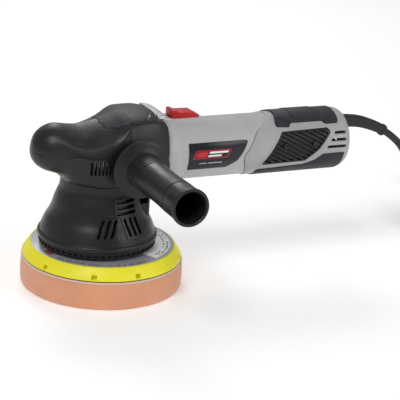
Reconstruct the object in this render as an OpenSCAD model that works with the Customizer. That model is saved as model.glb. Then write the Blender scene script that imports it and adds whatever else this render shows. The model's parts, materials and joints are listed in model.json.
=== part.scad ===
// Dual action (random orbital) polisher: a palm-grip head on a flared shroud, an inline motor body,
// a side handle, and a foam pad that spins freely on an eccentric seat.
// Frame: the origin is on the output spindle's axis at the pad's working face. +Z is up, +X runs to
// the cord end and the side handle points to -Y. All sizes are in millimetres.

/* [Pad] */
// Diameter of the foam pad
pad_d = 160; // [133:1:192]
// Thickness of the foam
foam_h = 26.5; // [15:0.5:36]
// Height of the backing plate
plate_h = 12; // [9:0.5:15]
// Offset of the pad's axis from the output spindle's axis
orbit_r = 6; // [4:0.5:7.5]
// Bore of the pad bearing
pad_shaft_d = 15; // [12:0.5:18]

/* [Shroud and head] */
// Diameter of the shroud's lower rim
shroud_d = 118.4; // [110:0.2:142]
// Diameter of the shroud's neck under the head
neck_d = 76.6; // [74:0.2:78]
// Width of the head across its flat sides
head_w = 84; // [80:1:102]
// Length of the palm grip ahead of the output spindle
nose_len = 70; // [58:1:84]
// Height of the hump above the head's parting plane
hump_h = 37; // [30:1:45]
// Wall of the head covers and the shroud
cover_wall = 3; // [2.4:0.1:3.2]

/* [Drive] */
// Number of teeth on the bevel gear
gear_teeth = 30; // [30]
// Number of teeth on the bevel pinion
pinion_teeth = 10; // [10]
// Outer pitch radius of the bevel gear
gear_r = 24; // [23:0.5:25]
// Diameter of the armature shaft
rotor_shaft_d = 8; // [7:0.5:9]
// Diameter of the armature core
core_d = 33; // [28:0.5:34]

/* [Motor body] */
// Outer diameter of the motor tube
tube_d = 60.8; // [58:0.2:73]
// Wall of the motor tube
tube_wall = 3; // [2.5:0.1:3.5]
// Distance from the output spindle's axis to the body's rear end
body_len = 265; // [260:1:320]
// Travel of the switch slider
switch_travel = 5; // [4:0.5:5.5]
// Diameter of the speed dial
dial_d = 20; // [17:1:24]

/* [Side handle] */
// Diameter of the grip
grip_d = 34; // [31:0.5:41]
// Length of the handle from its flange's rim to its open end
handle_len = 112.8; // [94:0.2:136]
// Diameter of the flange
flange_d = 57.6; // [50:0.2:69]
// Diameter of the hollow in the end of the grip
handle_hollow_d = 30; // [20:0.5:30.5]
// Diameter of the handle's thread
thread_d = 8; // [8]

/* [Cord] */
// Diameter of the mains cord
cord_d = 7.6; // [6.5:0.1:8.5]

/* [Hidden] */
$fn = 96;

// Gaps between solids: a running or seating fit, and loose trim
fit = 0.05;
gap = 0.3;
// Length that a cut runs past the face it opens
cut = 1;

// Pad stack, from the working face up
loop_h = 1.5;
hook_h = 1;
sticker_h = 0.4;
loop_z = foam_h;
hook_z = loop_z + loop_h;
plate_z = hook_z + hook_h;
plate_top = plate_z + plate_h;
plate_r = pad_d / 2 - 1;
plate_bevel = 7.8;
plate_face_r = plate_r - plate_bevel;
hub_r = 27;
hub_h = 1.6;
screw_r = 4;
screw_head_r = 7;
// Angles of the vent notches round the plate's lower edge
NOTCH_ANGLES = [-156, -117, -85, -32, 5, 41, 78, 115, 160];

// Eccentric seat and output spindle, from the plate up
seat_z = plate_top + 6.5;
pad_bearing_h = 14;
pad_bearing_r = pad_shaft_d / 2 + 8.5;
cup_r = pad_bearing_r + 4;
cup_h = pad_bearing_h + 4.5;
weight_r = 35;
weight_z = seat_z + 2;
weight_h = 15;
ecc_hub_h = 12;
ecc_hub_r = 13;
ecc_top = seat_z + cup_h + ecc_hub_h;
lower_bearing_r = 17.5;
lower_bearing_h = 11;
lower_bore_r = 7.5;
case_foot = ecc_top + 3;
lower_bearing_z = case_foot + 3;

// Height of the motor's axis, where the bevel gears' axes cross
case_drop = 50.7;
axis_z = case_foot + case_drop;

// Bevel gears: both pitch cones have their tip where the axes cross
pinion_r = gear_r * pinion_teeth / gear_teeth;
cone_len = sqrt(gear_r * gear_r + pinion_r * pinion_r);
cone_angle = atan(gear_r / pinion_r);
tooth_face = 9;
face_scale = (cone_len - tooth_face) / cone_len;
tooth_module = 2 * gear_r / gear_teeth;
tooth_top = 0.9 * tooth_module;
tooth_root = 1.15 * tooth_module;
tooth_bed = 0.3;
tooth_tip_half = 0.28 * tooth_module;
tooth_root_half = 0.8 * tooth_module;
gear_hub_drop = 26;
gear_hub_r = 12;
gear_seat_r = 7;

// Gear case
case_r = 30;
case_wall = 3.5;
case_top = axis_z + 23;
case_floor = axis_z - 32;
case_flange_r = neck_d / 2 - cover_wall;
case_flange_h = 4;
case_tube_r = lower_bearing_r + 3.5;
upper_bearing_r = 11;
upper_bearing_h = 7;
upper_bearing_z = axis_z + 11;
upper_bore_r = 4;
case_rear_x = 50;
plate_rear_x = 57;
case_screw_r = 2;
case_screw_ring = 27.4;
neck_screw_r = 1.5;
case_boss_r = 7.7;
case_neck_r = 19;
case_face_h = 8.5;
case_boss_end = head_w / 2 + 8;
handle_x = 20.5;
stud_depth = 20;

// Head
parting_z = axis_z + 8.3;
head_rear = plate_rear_x;
strip_half = 20;
strip_x = 46;
strip_drop = 8;
// Top of the strip behind the hump, from the motor's axis
tab_top = parting_z - axis_z + hump_h;
head_half = head_w / 2;
nose_scale = nose_len / 70;
// Upper cover: place along X, half width, height over the parting plane, squareness
UPPER_KEYS = [
    [-68.5, 8, 9, 2], [-65, 15, 16, 2.1], [-58.5, 21, 21.5, 2.2], [-49, 25.6, 25.6, 2.2],
    [-37, 33.4, 25, 1.8], [-25, 38.8, 24.6, 1.65], [-12, 41.6, 27.5, 1.85], [2, 42, 32, 2.4],
    [14, 42, 36.2, 3], [24, 41.8, 37, 3.3], [45, 39.2, 36.4, 3.4], [57, 36.5, 29, 3.2]
];
UPPER_KEY_HEIGHT = 37;
// Lower cover: place along X, half width, depth under the parting plane, squareness
LOWER_KEYS = [
    [-68.5, 8, 8, 2], [-65, 15, 13, 2.1], [-58.5, 21, 18, 2.2], [-49.5, 25, 21.2, 2.4],
    [-44, 28, 23.5, 2.8], [-40, 31.5, 28.6, 3.3], [-33, 36, 30.6, 3.9], [-22, 40, 31.8, 4.6],
    [-10, 42, 32.3, 6], [10, 42, 32.6, 6], [30, 41.5, 34.5, 6], [38, 40.5, 41.6, 5],
    [48, 38.5, 42, 4], [57, 36.5, 42, 3.2]
];
KEY_HALF_W = 42;
arch_steps = 18;
key_steps = 2;
vent_count = 7;
vent_pitch = 3.6;
vent_x = -24;

// Shroud
foot_z = plate_top + 3.5;
ring_h = 5.5;
rim_r = shroud_d / 2;
neck_r = neck_d / 2;
neck_z = axis_z - 19.5;
shroud_h = neck_z - foot_z;
// Outline: share of the height, share of the way from the neck's radius to the rim's
FLARE = [
    [0.082, 1], [0.14, 1], [0.165, 0.885], [0.26, 0.80], [0.35, 0.67], [0.44, 0.5], [0.54, 0.37],
    [0.63, 0.28], [0.73, 0.16], [0.82, 0.04], [0.91, 0], [1, 0]
];
duct_x = 44.5;
duct_half = 26;
duct_top = axis_z - 35;
vent_hole_count = 40;
slot_w = 3.2;

// Motor body
tube_r = tube_d / 2;
bore_r = tube_r - tube_wall;
collar_r = tube_r + 3.1;
collar_x = head_rear + gap;
collar_end = 70;
tube_start = 80;
bed_half = 11.5;
bed_top = axis_z + tube_r + 3.4;
bed_end = 108;
slider_x = plate_rear_x + 14;
slider_len = 28.4;
slider_half = 9;
stem_half = 3.5;
link_r = 1.3;
link_z = axis_z + bore_r - 1.7;
// Parting line of the rear cover, from the top of the tube to its underside, from the axis
PARTING = [
    [178, 60], [176, 31], [170.5, 27], [164, 22.5], [156.8, 19.4], [148, 5], [141.8, -4],
    [142.2, -9], [144, -13.5], [150, -29], [152, -60]
];
rear_r = tube_r + 0.8;
rear_bore_r = rear_r - tube_wall;
rear_round = 9;
stator_x = 84;
stator_len = 54;
stator_r = bore_r - 0.6;
stator_flat = bore_r - 5.4;
air_gap = 0.8;
core_r = core_d / 2;
rotor_r = rotor_shaft_d / 2;
shaft_front = 22.5;
shaft_rear = 196;
front_bearing_r = 13;
front_bearing_h = 8;
front_bearing_x = 42;
rear_bearing_h = 7;
rear_bearing_x = 187;
fan_x = 62;
fan_len = 11;
fan_blades = 14;
commutator_r = 11;
commutator_x = 158;
commutator_len = 18;
brush_x = 167;
frame_x = 184;
frame_len = 12;

// Rear trim, as angles from the top of the body round its side
top_grip_angle = 45;
top_grip_short_angle = 34;
top_grip_h = 2;
grille_h = 1;
inlay_h = 0.8;
grille_screw_r = 1.5;
grille_head_r = 2.8;
rear_vent_drop = 6.95;
rear_vent_step = 4.3;
switch_x = body_len - 51;
dial_x = body_len - 5.5;
dial_z = axis_z - 13;
dial_w = 6;
gland_z = axis_z + 16.3;

// Side handle, as distances from the rim of its flange towards the open end
handle_y = head_half + 12.5;
handle_z = axis_z;
flange_r = flange_d / 2;
grip_r = grip_d / 2;
handle_foot = 4.4;
groove_w = 2.2;
groove_depth = 0.9;

// Cord route, from the strain relief's tip to the coil on the floor, then from the coil to the plug
cord_r = cord_d / 2;
gland_r = 7.2;
gland_tip_r = 5;
GLAND_POINTS = [
    [265, 0, 148], [274, 0, 148], [283, 0, 147.2], [292, 0, 145.4], [302, 0, 142.2],
    [312, 0, 138.2], [321, 0, 133.6]
];
CORD_POINTS = [
    [320, 0, 133.5], [331, 0, 127], [342, 0, 117.5], [351, 0, 105], [358, 0, 90], [364, 0, 73],
    [370, 0, 56], [377, 0, 39.5], [387, 0, 24.5], [401, 0, 12], [414, 0, 6], [425, 0, 5]
];
coil_x = 455;
coil_y = 47;
coil_r = 47;
coil_bundle_r = 14;
tie_t = 0.8;
coil_z = coil_bundle_r + tie_t + 2 * fit;
TAIL_POINTS = [
    [502, 66, 8], [502, 78, 7], [503, 90, 8], [504, 102, 11], [504.5, 113, 14], [504.5, 122, 16]
];
plug_len = 46;
plug_r = 16;
plug_angle = 90;

// ---- shared shapes ----

// Cylinder along X, from x0 to x1
module x_cylinder(r, x0, x1, y = 0, z = axis_z) {
    translate([x0, y, z])
        rotate([0, 90, 0])
            cylinder(r = r, h = x1 - x0);
}

// Cylinder along Y, from y0 to y1
module y_cylinder(r, y0, y1, x, z) {
    translate([x, y1, z])
        rotate([90, 0, 0])
            cylinder(r = r, h = y1 - y0);
}

// Cylinder along Z, from z0 to z1
module z_cylinder(r, z0, z1, x = 0, y = 0) {
    translate([x, y, z0])
        cylinder(r = r, h = z1 - z0);
}

// Solid of revolution about the motor's axis, from points of radius and place along X
module turned_x(points) {
    translate([0, 0, axis_z])
        rotate([0, 90, 0])
            rotate_extrude()
                polygon(points);
}

// Sealed ball bearing along Z from z = 0: an outer and an inner ring with sunk seals between them
module bearing(outer_r, inner_r, h) {
    ring = (outer_r - inner_r) * 0.28;
    edge = 0.4;
    sunk = 0.5;
    half = [
        [inner_r, edge], [inner_r + edge, 0], [inner_r + ring, 0], [inner_r + ring, sunk],
        [outer_r - ring, sunk], [outer_r - ring, 0], [outer_r - edge, 0], [outer_r, edge]
    ];
    rotate_extrude()
        polygon(concat(half, [for (i = [len(half) - 1 : -1 : 0]) [half[i][0], h - half[i][1]]]));
}

// Prism across the body's full width, from points of place along X and height over the motor's axis
module side_prism(points, y0, y1) {
    translate([0, y1, axis_z])
        rotate([90, 0, 0])
            linear_extrude(height = y1 - y0)
                polygon(points);
}

// One bevel tooth that shrinks towards the crossing of the axes. It lies along the line where the
// two pitch cones touch, and points to one side of that line for the gear, to the other for the pinion
module bevel_tooth(to_pinion) {
    rotate([0, 180 - cone_angle, 0])
        translate([0, 0, cone_len])
            mirror([to_pinion ? 0 : 1, 0, 0])
                mirror([0, 0, 1])
                    linear_extrude(height = tooth_face, scale = face_scale)
                        polygon([
                            [tooth_root + tooth_bed, -tooth_root_half],
                            [-tooth_top, -tooth_tip_half], [-tooth_top, tooth_tip_half],
                            [tooth_root + tooth_bed, tooth_root_half]
                        ]);
}

// Signed power, for rounded cross-sections
function spow(v, e) = sign(v) * pow(abs(v), e);

// Half of a rounded cross-section, from one side over the top to the other: place across, height
function arch(w, h, n) = [
    for (i = [0 : arch_steps])
        let (a = 180 * i / arch_steps)
            [w * spow(cos(a), 2 / n), h * spow(sin(a), 2 / n)]
];

// A smooth curve through four keys at share t of the middle span
function smooth4(a, b, c, d, t) =
    0.5 * (2 * b + (c - a) * t + (2 * a - 5 * b + 4 * c - d) * t * t
        + (3 * b - a - 3 * c + d) * t * t * t);

// Keys with smooth steps put in between
function smooth_keys(keys) = [
    for (i = [0 : len(keys) - 2])
        for (s = [0 : key_steps - 1])
            smooth4(keys[max(i - 1, 0)], keys[i], keys[i + 1], keys[min(i + 2, len(keys) - 1)],
                s / key_steps),
    keys[len(keys) - 1]
];

// Keys at the real size: the nose's length, the head's width and the height
function sized_keys(keys, height_scale) = [
    for (k = keys)
        [k[0] < 0 ? k[0] * nose_scale : k[0], k[1] * head_half / KEY_HALF_W,
            k[2] * height_scale, k[3]]
];

// Half shell over the plane z = 0, open at its rear end and below: an outer and an inner skin
// through the keys' cross-sections, joined along the plane and round the rear end
module half_shell(keys, tip_x, wall) {
    n = len(keys);
    m = arch_steps + 1;
    outer = [for (k = keys) for (p = arch(k[1], k[2], k[3])) [k[0], p[0], p[1]]];
    inner = [
        for (k = keys)
            for (p = arch(k[1] - wall, k[2] - wall, k[3]))
                [max(k[0], tip_x + wall + 0.6 * (k[0] - tip_x)), p[0], p[1]]
    ];
    // The first inner ring is pulled back from the tip, and the last one lies in the rear face
    points = concat(outer, inner, [[tip_x, 0, 0]], [[tip_x + wall, 0, 0]]);
    o = function (i, j) i * m + j;
    q = function (i, j) n * m + i * m + j;
    tip = 2 * n * m;
    back = tip + 1;
    faces = concat(
        [for (i = [0 : n - 2]) for (j = [0 : m - 2]) [o(i, j), o(i + 1, j), o(i + 1, j + 1)]],
        [for (i = [0 : n - 2]) for (j = [0 : m - 2]) [o(i, j), o(i + 1, j + 1), o(i, j + 1)]],
        [for (i = [0 : n - 2]) for (j = [0 : m - 2]) [q(i, j), q(i + 1, j + 1), q(i + 1, j)]],
        [for (i = [0 : n - 2]) for (j = [0 : m - 2]) [q(i, j), q(i, j + 1), q(i + 1, j + 1)]],
        [for (j = [0 : m - 2]) [tip, o(0, j), o(0, j + 1)]],
        [for (j = [0 : m - 2]) [back, q(0, j + 1), q(0, j)]],
        [for (i = [0 : n - 2]) [o(i, 0), q(i, 0), o(i + 1, 0)]],
        [for (i = [0 : n - 2]) [q(i, 0), q(i + 1, 0), o(i + 1, 0)]],
        [for (i = [0 : n - 2]) [o(i, m - 1), o(i + 1, m - 1), q(i, m - 1)]],
        [for (i = [0 : n - 2]) [q(i, m - 1), o(i + 1, m - 1), q(i + 1, m - 1)]],
        [[tip, back, o(0, 0)], [back, q(0, 0), o(0, 0)]],
        [[tip, o(0, m - 1), back], [back, o(0, m - 1), q(0, m - 1)]],
        [for (j = [0 : m - 2]) [o(n - 1, j), q(n - 1, j), o(n - 1, j + 1)]],
        [for (j = [0 : m - 2]) [q(n - 1, j), q(n - 1, j + 1), o(n - 1, j + 1)]]
    );
    polyhedron(points = points, faces = faces, convexity = 8);
}

// Tube of changing radius swept along points, as one closed solid of n sides
function unit(v) = v / norm(v);
function route_dir(p, i) = unit(p[min(i + 1, len(p) - 1)] - p[max(i - 1, 0)]);
module swept_tube(p, radii, sides) {
    side_axis = function (d) unit(cross(abs(d[1]) > 0.8 ? [1, 0, 0] : [0, 1, 0], d));
    rings = [
        for (i = [0 : len(p) - 1])
            let (d = route_dir(p, i), u = side_axis(d), w = cross(d, u))
                for (s = [0 : sides - 1])
                    let (a = 360 * s / sides)
                        p[i] + radii[i] * (cos(a) * u + sin(a) * w)
    ];
    k = function (i, s) i * sides + s % sides;
    last = len(p) - 1;
    faces = concat(
        [[for (s = [0 : sides - 1]) s]],
        [
            for (i = [0 : last - 1])
                for (s = [0 : sides - 1])
                    [k(i, s), k(i + 1, s), k(i + 1, s + 1)]
        ],
        [
            for (i = [0 : last - 1])
                for (s = [0 : sides - 1])
                    [k(i, s), k(i + 1, s + 1), k(i, s + 1)]
        ],
        [[for (s = [sides - 1 : -1 : 0]) last * sides + s]]
    );
    polyhedron(points = rings, faces = faces, convexity = 6);
}

// ---- pad ----

module foam_pad() {
    edge = 3;
    r = pad_d / 2;
    color("darksalmon")
        translate([orbit_r, 0, 0])
            rotate_extrude()
                polygon(concat(
                    [[0, 0], [r - edge, 0]],
                    [for (a = [-60 : 30 : 0]) [r - edge + edge * cos(a), edge + edge * sin(a)]],
                    [[r, foam_h], [0, foam_h]]
                ));
}

module loop_layer() {
    color("mistyrose")
        z_cylinder(pad_d / 2 - 0.2, loop_z, hook_z, orbit_r);
}

module hook_layer() {
    color("dimgray")
        z_cylinder(plate_r - 1, hook_z, plate_z, orbit_r);
}

module backing_plate() {
    notch_w = 4.4;
    notch_h = 3.6;
    notch_deep = 5;
    edge_h = 2.2;
    color("gold")
        difference() {
            translate([orbit_r, 0, plate_z])
                rotate_extrude()
                    polygon([
                        [0, 0], [plate_r, 0], [plate_r, edge_h],
                        [plate_face_r + 1.2, plate_h - 0.6], [plate_face_r, plate_h], [0, plate_h]
                    ]);
            z_cylinder(screw_head_r + 1, plate_z - cut, plate_z + 5, orbit_r);
            z_cylinder(screw_r + fit, plate_z, plate_top + cut, orbit_r);
            z_cylinder(hub_r + fit, plate_top - hub_h, plate_top + cut, orbit_r);
            for (a = NOTCH_ANGLES)
                translate([orbit_r, 0, 0])
                    rotate([0, 0, a])
                        translate([plate_r - notch_deep, -notch_w / 2, plate_z + 1.4])
                            cube([notch_deep + 2 * cut, notch_w, notch_h]);
        }
}

module plate_sticker() {
    color("silver")
        difference() {
            z_cylinder(plate_face_r - 0.3, plate_top, plate_top + sticker_h, orbit_r);
            z_cylinder(hub_r + 2, plate_top - cut, plate_top + cut, orbit_r);
        }
}

module plate_hub() {
    color("slategray")
        difference() {
            z_cylinder(hub_r, plate_top - hub_h, plate_top, orbit_r);
            z_cylinder(screw_r + fit, plate_z, plate_top + cut, orbit_r);
        }
}

module pad_spindle() {
    shoulder_r = pad_shaft_d / 2 + 2.5;
    color("silver")
        difference() {
            union() {
                z_cylinder(shoulder_r, plate_top + fit, seat_z - 0.6, orbit_r);
                z_cylinder(pad_shaft_d / 2 - fit, plate_top + fit, seat_z + pad_bearing_h + 1, orbit_r);
            }
            z_cylinder(screw_r + fit, plate_top, plate_top + 17, orbit_r);
        }
}

module pad_screw() {
    head_h = 4.4;
    color("gray")
        difference() {
            union() {
                z_cylinder(screw_head_r, plate_z + 0.4, plate_z + 0.4 + head_h, orbit_r);
                z_cylinder(screw_r, plate_z + head_h, plate_top + 16, orbit_r);
            }
            translate([orbit_r, 0, plate_z])
                cylinder(r = 3.4, h = 3.2, $fn = 6);
        }
}

// ---- output spindle and eccentric ----

module eccentric_weight() {
    color("dimgray")
        difference() {
            union() {
                z_cylinder(cup_r, seat_z, seat_z + cup_h, orbit_r);
                z_cylinder(ecc_hub_r, seat_z + cup_h - cut, ecc_top);
                intersection() {
                    z_cylinder(weight_r, weight_z, weight_z + weight_h);
                    translate([-weight_r - cut, -weight_r, weight_z])
                        cube([weight_r + cut, 2 * weight_r, weight_h]);
                }
            }
            z_cylinder(pad_bearing_r + fit, seat_z - cut, seat_z + pad_bearing_h + 2, orbit_r);
            z_cylinder(lower_bore_r, ecc_top - ecc_hub_h + cut, ecc_top + cut);
        }
}

module pad_bearing() {
    color("lightgray")
        translate([orbit_r, 0, seat_z])
            bearing(pad_bearing_r, pad_shaft_d / 2, pad_bearing_h);
}

module output_spindle() {
    color("silver")
        union() {
            z_cylinder(lower_bore_r - fit, ecc_top - ecc_hub_h + 1.5, axis_z - gear_hub_drop);
            z_cylinder(lower_bore_r + 2, lower_bearing_z + lower_bearing_h + gap,
                axis_z - gear_hub_drop - fit);
            z_cylinder(gear_seat_r - fit, axis_z - gear_hub_drop, axis_z - 5);
            z_cylinder(upper_bore_r - fit, axis_z - 5 - cut, upper_bearing_z + upper_bearing_h);
        }
}

module bevel_gear() {
    // The blank's upper face lies a tooth root's depth under the pitch cone
    root = [gear_r - tooth_root * cos(cone_angle), -pinion_r - tooth_root * sin(cone_angle)];
    color("darkgray")
        translate([0, 0, axis_z])
            union() {
                rotate_extrude()
                    polygon([
                        [gear_seat_r, -gear_hub_drop], [gear_hub_r, -gear_hub_drop],
                        [gear_hub_r, -18], [gear_r - 2.5, -15.5], root, root * face_scale,
                        [gear_hub_r - 1, -8], [gear_seat_r, -8]
                    ]);
                for (i = [0 : gear_teeth - 1])
                    rotate([0, 0, (i + 0.5) * 360 / gear_teeth])
                        bevel_tooth(true);
            }
}

module lower_bearing() {
    color("lightgray")
        translate([0, 0, lower_bearing_z])
            bearing(lower_bearing_r, lower_bore_r, lower_bearing_h);
}

module upper_bearing() {
    color("lightgray")
        translate([0, 0, upper_bearing_z])
            bearing(upper_bearing_r, upper_bore_r, upper_bearing_h);
}

// ---- gear case ----

module screw_ring_x(r, x0, x1) {
    for (a = [45 : 90 : 315])
        x_cylinder(r, x0, x1, case_screw_ring * cos(a), axis_z + case_screw_ring * sin(a));
}

module gear_case() {
    inner_r = case_r - case_wall;
    color("gainsboro")
        difference() {
            union() {
                z_cylinder(case_r, case_floor, case_top);
                z_cylinder(case_tube_r, case_foot, case_floor + cut);
                z_cylinder(case_flange_r, neck_z + gap, neck_z + gap + case_flange_h);
                x_cylinder(case_neck_r, 0, case_rear_x);
                x_cylinder(case_r, case_rear_x - case_face_h, case_rear_x);
                y_cylinder(case_boss_r, -case_boss_end, case_boss_end, handle_x, handle_z);
            }
            z_cylinder(inner_r, case_floor + case_wall, upper_bearing_z - 2);
            x_cylinder(front_bearing_r + 3 + fit, 0, case_rear_x + cut);
            z_cylinder(lower_bearing_r + fit, case_foot - cut, lower_bearing_z + lower_bearing_h + gap);
            z_cylinder(lower_bearing_r - 3, case_foot, case_floor + case_wall + cut);
            z_cylinder(upper_bearing_r + fit, axis_z, upper_bearing_z + upper_bearing_h + 1);
            for (s = [-1, 1])
                y_cylinder(thread_d / 2, s > 0 ? case_boss_end - stud_depth : -case_boss_end - cut,
                    s > 0 ? case_boss_end + cut : -case_boss_end + stud_depth, handle_x, handle_z);
            screw_ring_x(case_screw_r + fit, case_rear_x - 8, case_rear_x + cut);
            neck_screw_places()
                z_cylinder(neck_screw_r + fit, neck_z, neck_z + case_flange_h + 2);
        }
}

module bearing_plate() {
    color("whitesmoke")
        difference() {
            union() {
                x_cylinder(case_r, case_rear_x, plate_rear_x);
                x_cylinder(front_bearing_r + 3, front_bearing_x - 2, case_rear_x + cut);
                intersection() {
                    side_prism([
                        [strip_x, tab_top], [strip_x + 3, tab_top + 0.6],
                        [plate_rear_x, tab_top - strip_drop], [plate_rear_x, 20],
                        [case_rear_x, 20], [case_rear_x, case_r + gap],
                        [strip_x, case_r + 4]
                    ], -strip_half, strip_half);
                    x_cylinder(50, 0, 80);
                }
            }
            x_cylinder(front_bearing_r + fit, front_bearing_x - 0.2, front_bearing_x + front_bearing_h + 0.4);
            x_cylinder(rotor_r + 2.5, 0, 80);
            screw_ring_x(case_screw_r + fit, case_rear_x - cut, plate_rear_x + cut);
        }
}

module case_screws() {
    color("dimgray")
        union() {
            screw_ring_x(case_screw_r, case_rear_x - 7.5, plate_rear_x + 3);
            screw_ring_x(case_screw_r * 1.8, plate_rear_x + fit, plate_rear_x + 3);
        }
}

// ---- shroud ----

// The four screws that hold the shroud's top plate to the gear case's flange
module neck_screw_places() {
    for (a = [0 : 90 : 270])
        rotate([0, 0, a + 45])
            translate([(case_r + case_flange_r) / 2, 0, 0])
                children();
}

function flare_points(inset) = [
    for (f = FLARE) [neck_r + (rim_r - neck_r) * f[1] - inset, foot_z + shroud_h * f[0]]
];

module shroud() {
    rear_wall = cover_wall;
    color("darkslategray")
        difference() {
            union() {
                rotate_extrude()
                    polygon(concat([[0, foot_z + ring_h]], flare_points(0), [[0, neck_z]]));
                translate([0, -duct_half, foot_z + ring_h])
                    cube([duct_x, 2 * duct_half, duct_top - foot_z - ring_h]);
            }
            rotate_extrude()
                polygon(concat(
                    [[0, foot_z]], [[rim_r - cover_wall, foot_z]], flare_points(cover_wall),
                    [[neck_r - cover_wall, neck_z - cover_wall], [0, neck_z - cover_wall]]
                ));
            translate([0, -duct_half + rear_wall, foot_z])
                cube([duct_x - rear_wall, 2 * (duct_half - rear_wall), duct_top - foot_z - rear_wall]);
            z_cylinder(case_r + gap, neck_z - 2 * cover_wall, neck_z + cut);
            neck_screw_places()
                z_cylinder(neck_screw_r + fit, neck_z - 2 * cover_wall, neck_z + cut);
            for (side = [0, 1])
                mirror([0, side, 0])
                    shroud_slots();
        }
}

// Air slots on one side of the shroud: three level louvres over two fans of slanted slots
module shroud_slots() {
    depth = 30;
    for (i = [0 : 2])
        translate([0.6, -neck_r - 12, foot_z + 35 + i * 6.4])
            cube([21.5, depth, slot_w]);
    for (i = [0 : 2])
        translate([-15.5 + i * 6.6, -rim_r - 6, foot_z + 17])
            rotate([0, 14, 0])
                cube([slot_w, depth, 18]);
    for (i = [0 : 2])
        translate([9.5 + i * 6.2, -rim_r - 6, foot_z + 17])
            rotate([0, -14, 0])
                cube([slot_w, depth, 18]);
}

module shroud_ring() {
    hole_w = 3;
    hole_h = 2.4;
    ring_r = rim_r - 1.4;
    color("black")
        difference() {
            z_cylinder(ring_r, foot_z, foot_z + ring_h);
            z_cylinder(ring_r - 5, foot_z - cut, foot_z + ring_h + cut);
            for (i = [0 : vent_hole_count - 1])
                rotate([0, 0, i * 360 / vent_hole_count])
                    translate([ring_r - 3, -hole_w / 2, foot_z + 1.6])
                        cube([4, hole_w, hole_h]);
        }
}

module shroud_screws() {
    color("dimgray")
        neck_screw_places() {
            z_cylinder(neck_screw_r, neck_z - cover_wall, neck_z + case_flange_h + gap);
            z_cylinder(neck_screw_r * 1.7, neck_z + case_flange_h + gap + fit,
                neck_z + case_flange_h + 2.4);
        }
}

// ---- head covers ----

module cover_screw_places() {
    for (s = [-1, 1])
        translate([-50 * nose_scale, s * 11, parting_z])
            children();
}

module head_cover_upper() {
    post_r = 4;
    color("#2b2f31")
        difference() {
            union() {
                translate([0, 0, parting_z + 0.1])
                    half_shell(smooth_keys(sized_keys(UPPER_KEYS, hump_h / UPPER_KEY_HEIGHT)),
                        -nose_len, cover_wall);
                cover_screw_places()
                    z_cylinder(post_r, 0.1, 19.5);
            }
            translate([strip_x - gap, -strip_half - gap, axis_z + 20])
                cube([20, 2 * (strip_half + gap), 40]);
            cover_screw_places()
                z_cylinder(1.5, -cut, 14);
        }
}

module head_cover_lower() {
    post_r = 4;
    color("#2b2f31")
        difference() {
            union() {
                translate([0, 0, parting_z - 0.1])
                    mirror([0, 0, 1])
                        half_shell(smooth_keys(sized_keys(LOWER_KEYS, 1)), -nose_len, cover_wall);
                cover_screw_places()
                    z_cylinder(post_r, -16.5, -0.1);
            }
            rotate_extrude($fn = 48)
                polygon(concat(
                    [[0, foot_z + shroud_h * 0.7]],
                    [for (p = flare_points(-gap)) if (p[1] > foot_z + shroud_h * 0.7) p],
                    [[neck_r + gap, neck_z + 2], [0, neck_z + 2]]
                ));
            y_cylinder(case_boss_r + gap, -2 * head_half, 2 * head_half, handle_x, handle_z);
            for (i = [0 : vent_count - 1])
                for (s = [-1, 1])
                    hull()
                        for (dz = [3.2, 15])
                            y_cylinder(1, s > 0 ? 20 : -2 * head_half, s > 0 ? 2 * head_half : -20,
                                vent_x + i * vent_pitch, parting_z - dz, $fn = 8);
            cover_screw_places() {
                z_cylinder(1.7, -40, cut);
                z_cylinder(3, -40, -14);
            }
        }
}

// Soft patch let into the top of the hump, with a wavy front edge
module head_patch() {
    patch_h = 0.8;
    front = [
        for (y = [-24 : 4 : 24])
            [4.5 + 2.2 * cos(y * 15), y]
    ];
    upper = smooth_keys(sized_keys(UPPER_KEYS, hump_h / UPPER_KEY_HEIGHT));
    color("#3a4046")
        difference() {
            intersection() {
                translate([0, 0, parting_z + 0.1 + patch_h])
                    half_shell(upper, -nose_len, cover_wall - 0.2);
                translate([0, 0, parting_z + 10])
                    linear_extrude(height = 60)
                        polygon(concat(front, [[30, 26], [42, 22], [42, -22], [30, -26]]));
            }
            translate([0, 0, parting_z + 0.1])
                half_shell(upper, -nose_len, cover_wall + 6);
        }
}

module cover_screws() {
    color("dimgray")
        cover_screw_places() {
            z_cylinder(1.45, -18, 12);
            z_cylinder(2.8, -18, -14.2);
        }
}

// ---- armature ----

module armature_shaft() {
    color("silver")
        x_cylinder(rotor_r, shaft_front, shaft_rear);
}

module bored_x(r_outer, r_inner, x0, x1) {
    difference() {
        x_cylinder(r_outer, x0, x1);
        x_cylinder(r_inner, x0 - cut, x1 + cut);
    }
}

module armature_core() {
    slots = 12;
    color("gray")
        difference() {
            x_cylinder(core_r, stator_x + 2, stator_x + stator_len - 2);
            x_cylinder(rotor_r + fit, 0, shaft_rear);
            for (i = [0 : slots - 1])
                translate([0, 0, axis_z])
                    rotate([i * 360 / slots, 0, 0])
                        translate([stator_x, -0.9, core_r - 3])
                            cube([stator_len, 1.8, 4]);
        }
}

module armature_windings() {
    wind_r = core_r - 2;
    color("chocolate")
        union() {
            bored_x(wind_r, rotor_r + 2, stator_x - 7, stator_x + 2 - fit);
            bored_x(wind_r, rotor_r + 2, stator_x + stator_len - 2 + fit, stator_x + stator_len + 8);
        }
}

module commutator() {
    bars = 24;
    color("peru")
        difference() {
            union() {
                x_cylinder(commutator_r, commutator_x, commutator_x + commutator_len);
                x_cylinder(commutator_r + 1.5, commutator_x, commutator_x + 3);
            }
            x_cylinder(rotor_r + fit, 0, shaft_rear);
            for (i = [0 : bars - 1])
                translate([0, 0, axis_z])
                    rotate([i * 360 / bars, 0, 0])
                        translate([commutator_x + 3.5, -0.3, commutator_r - 0.8])
                            cube([commutator_len, 0.6, 2]);
        }
}

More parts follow.
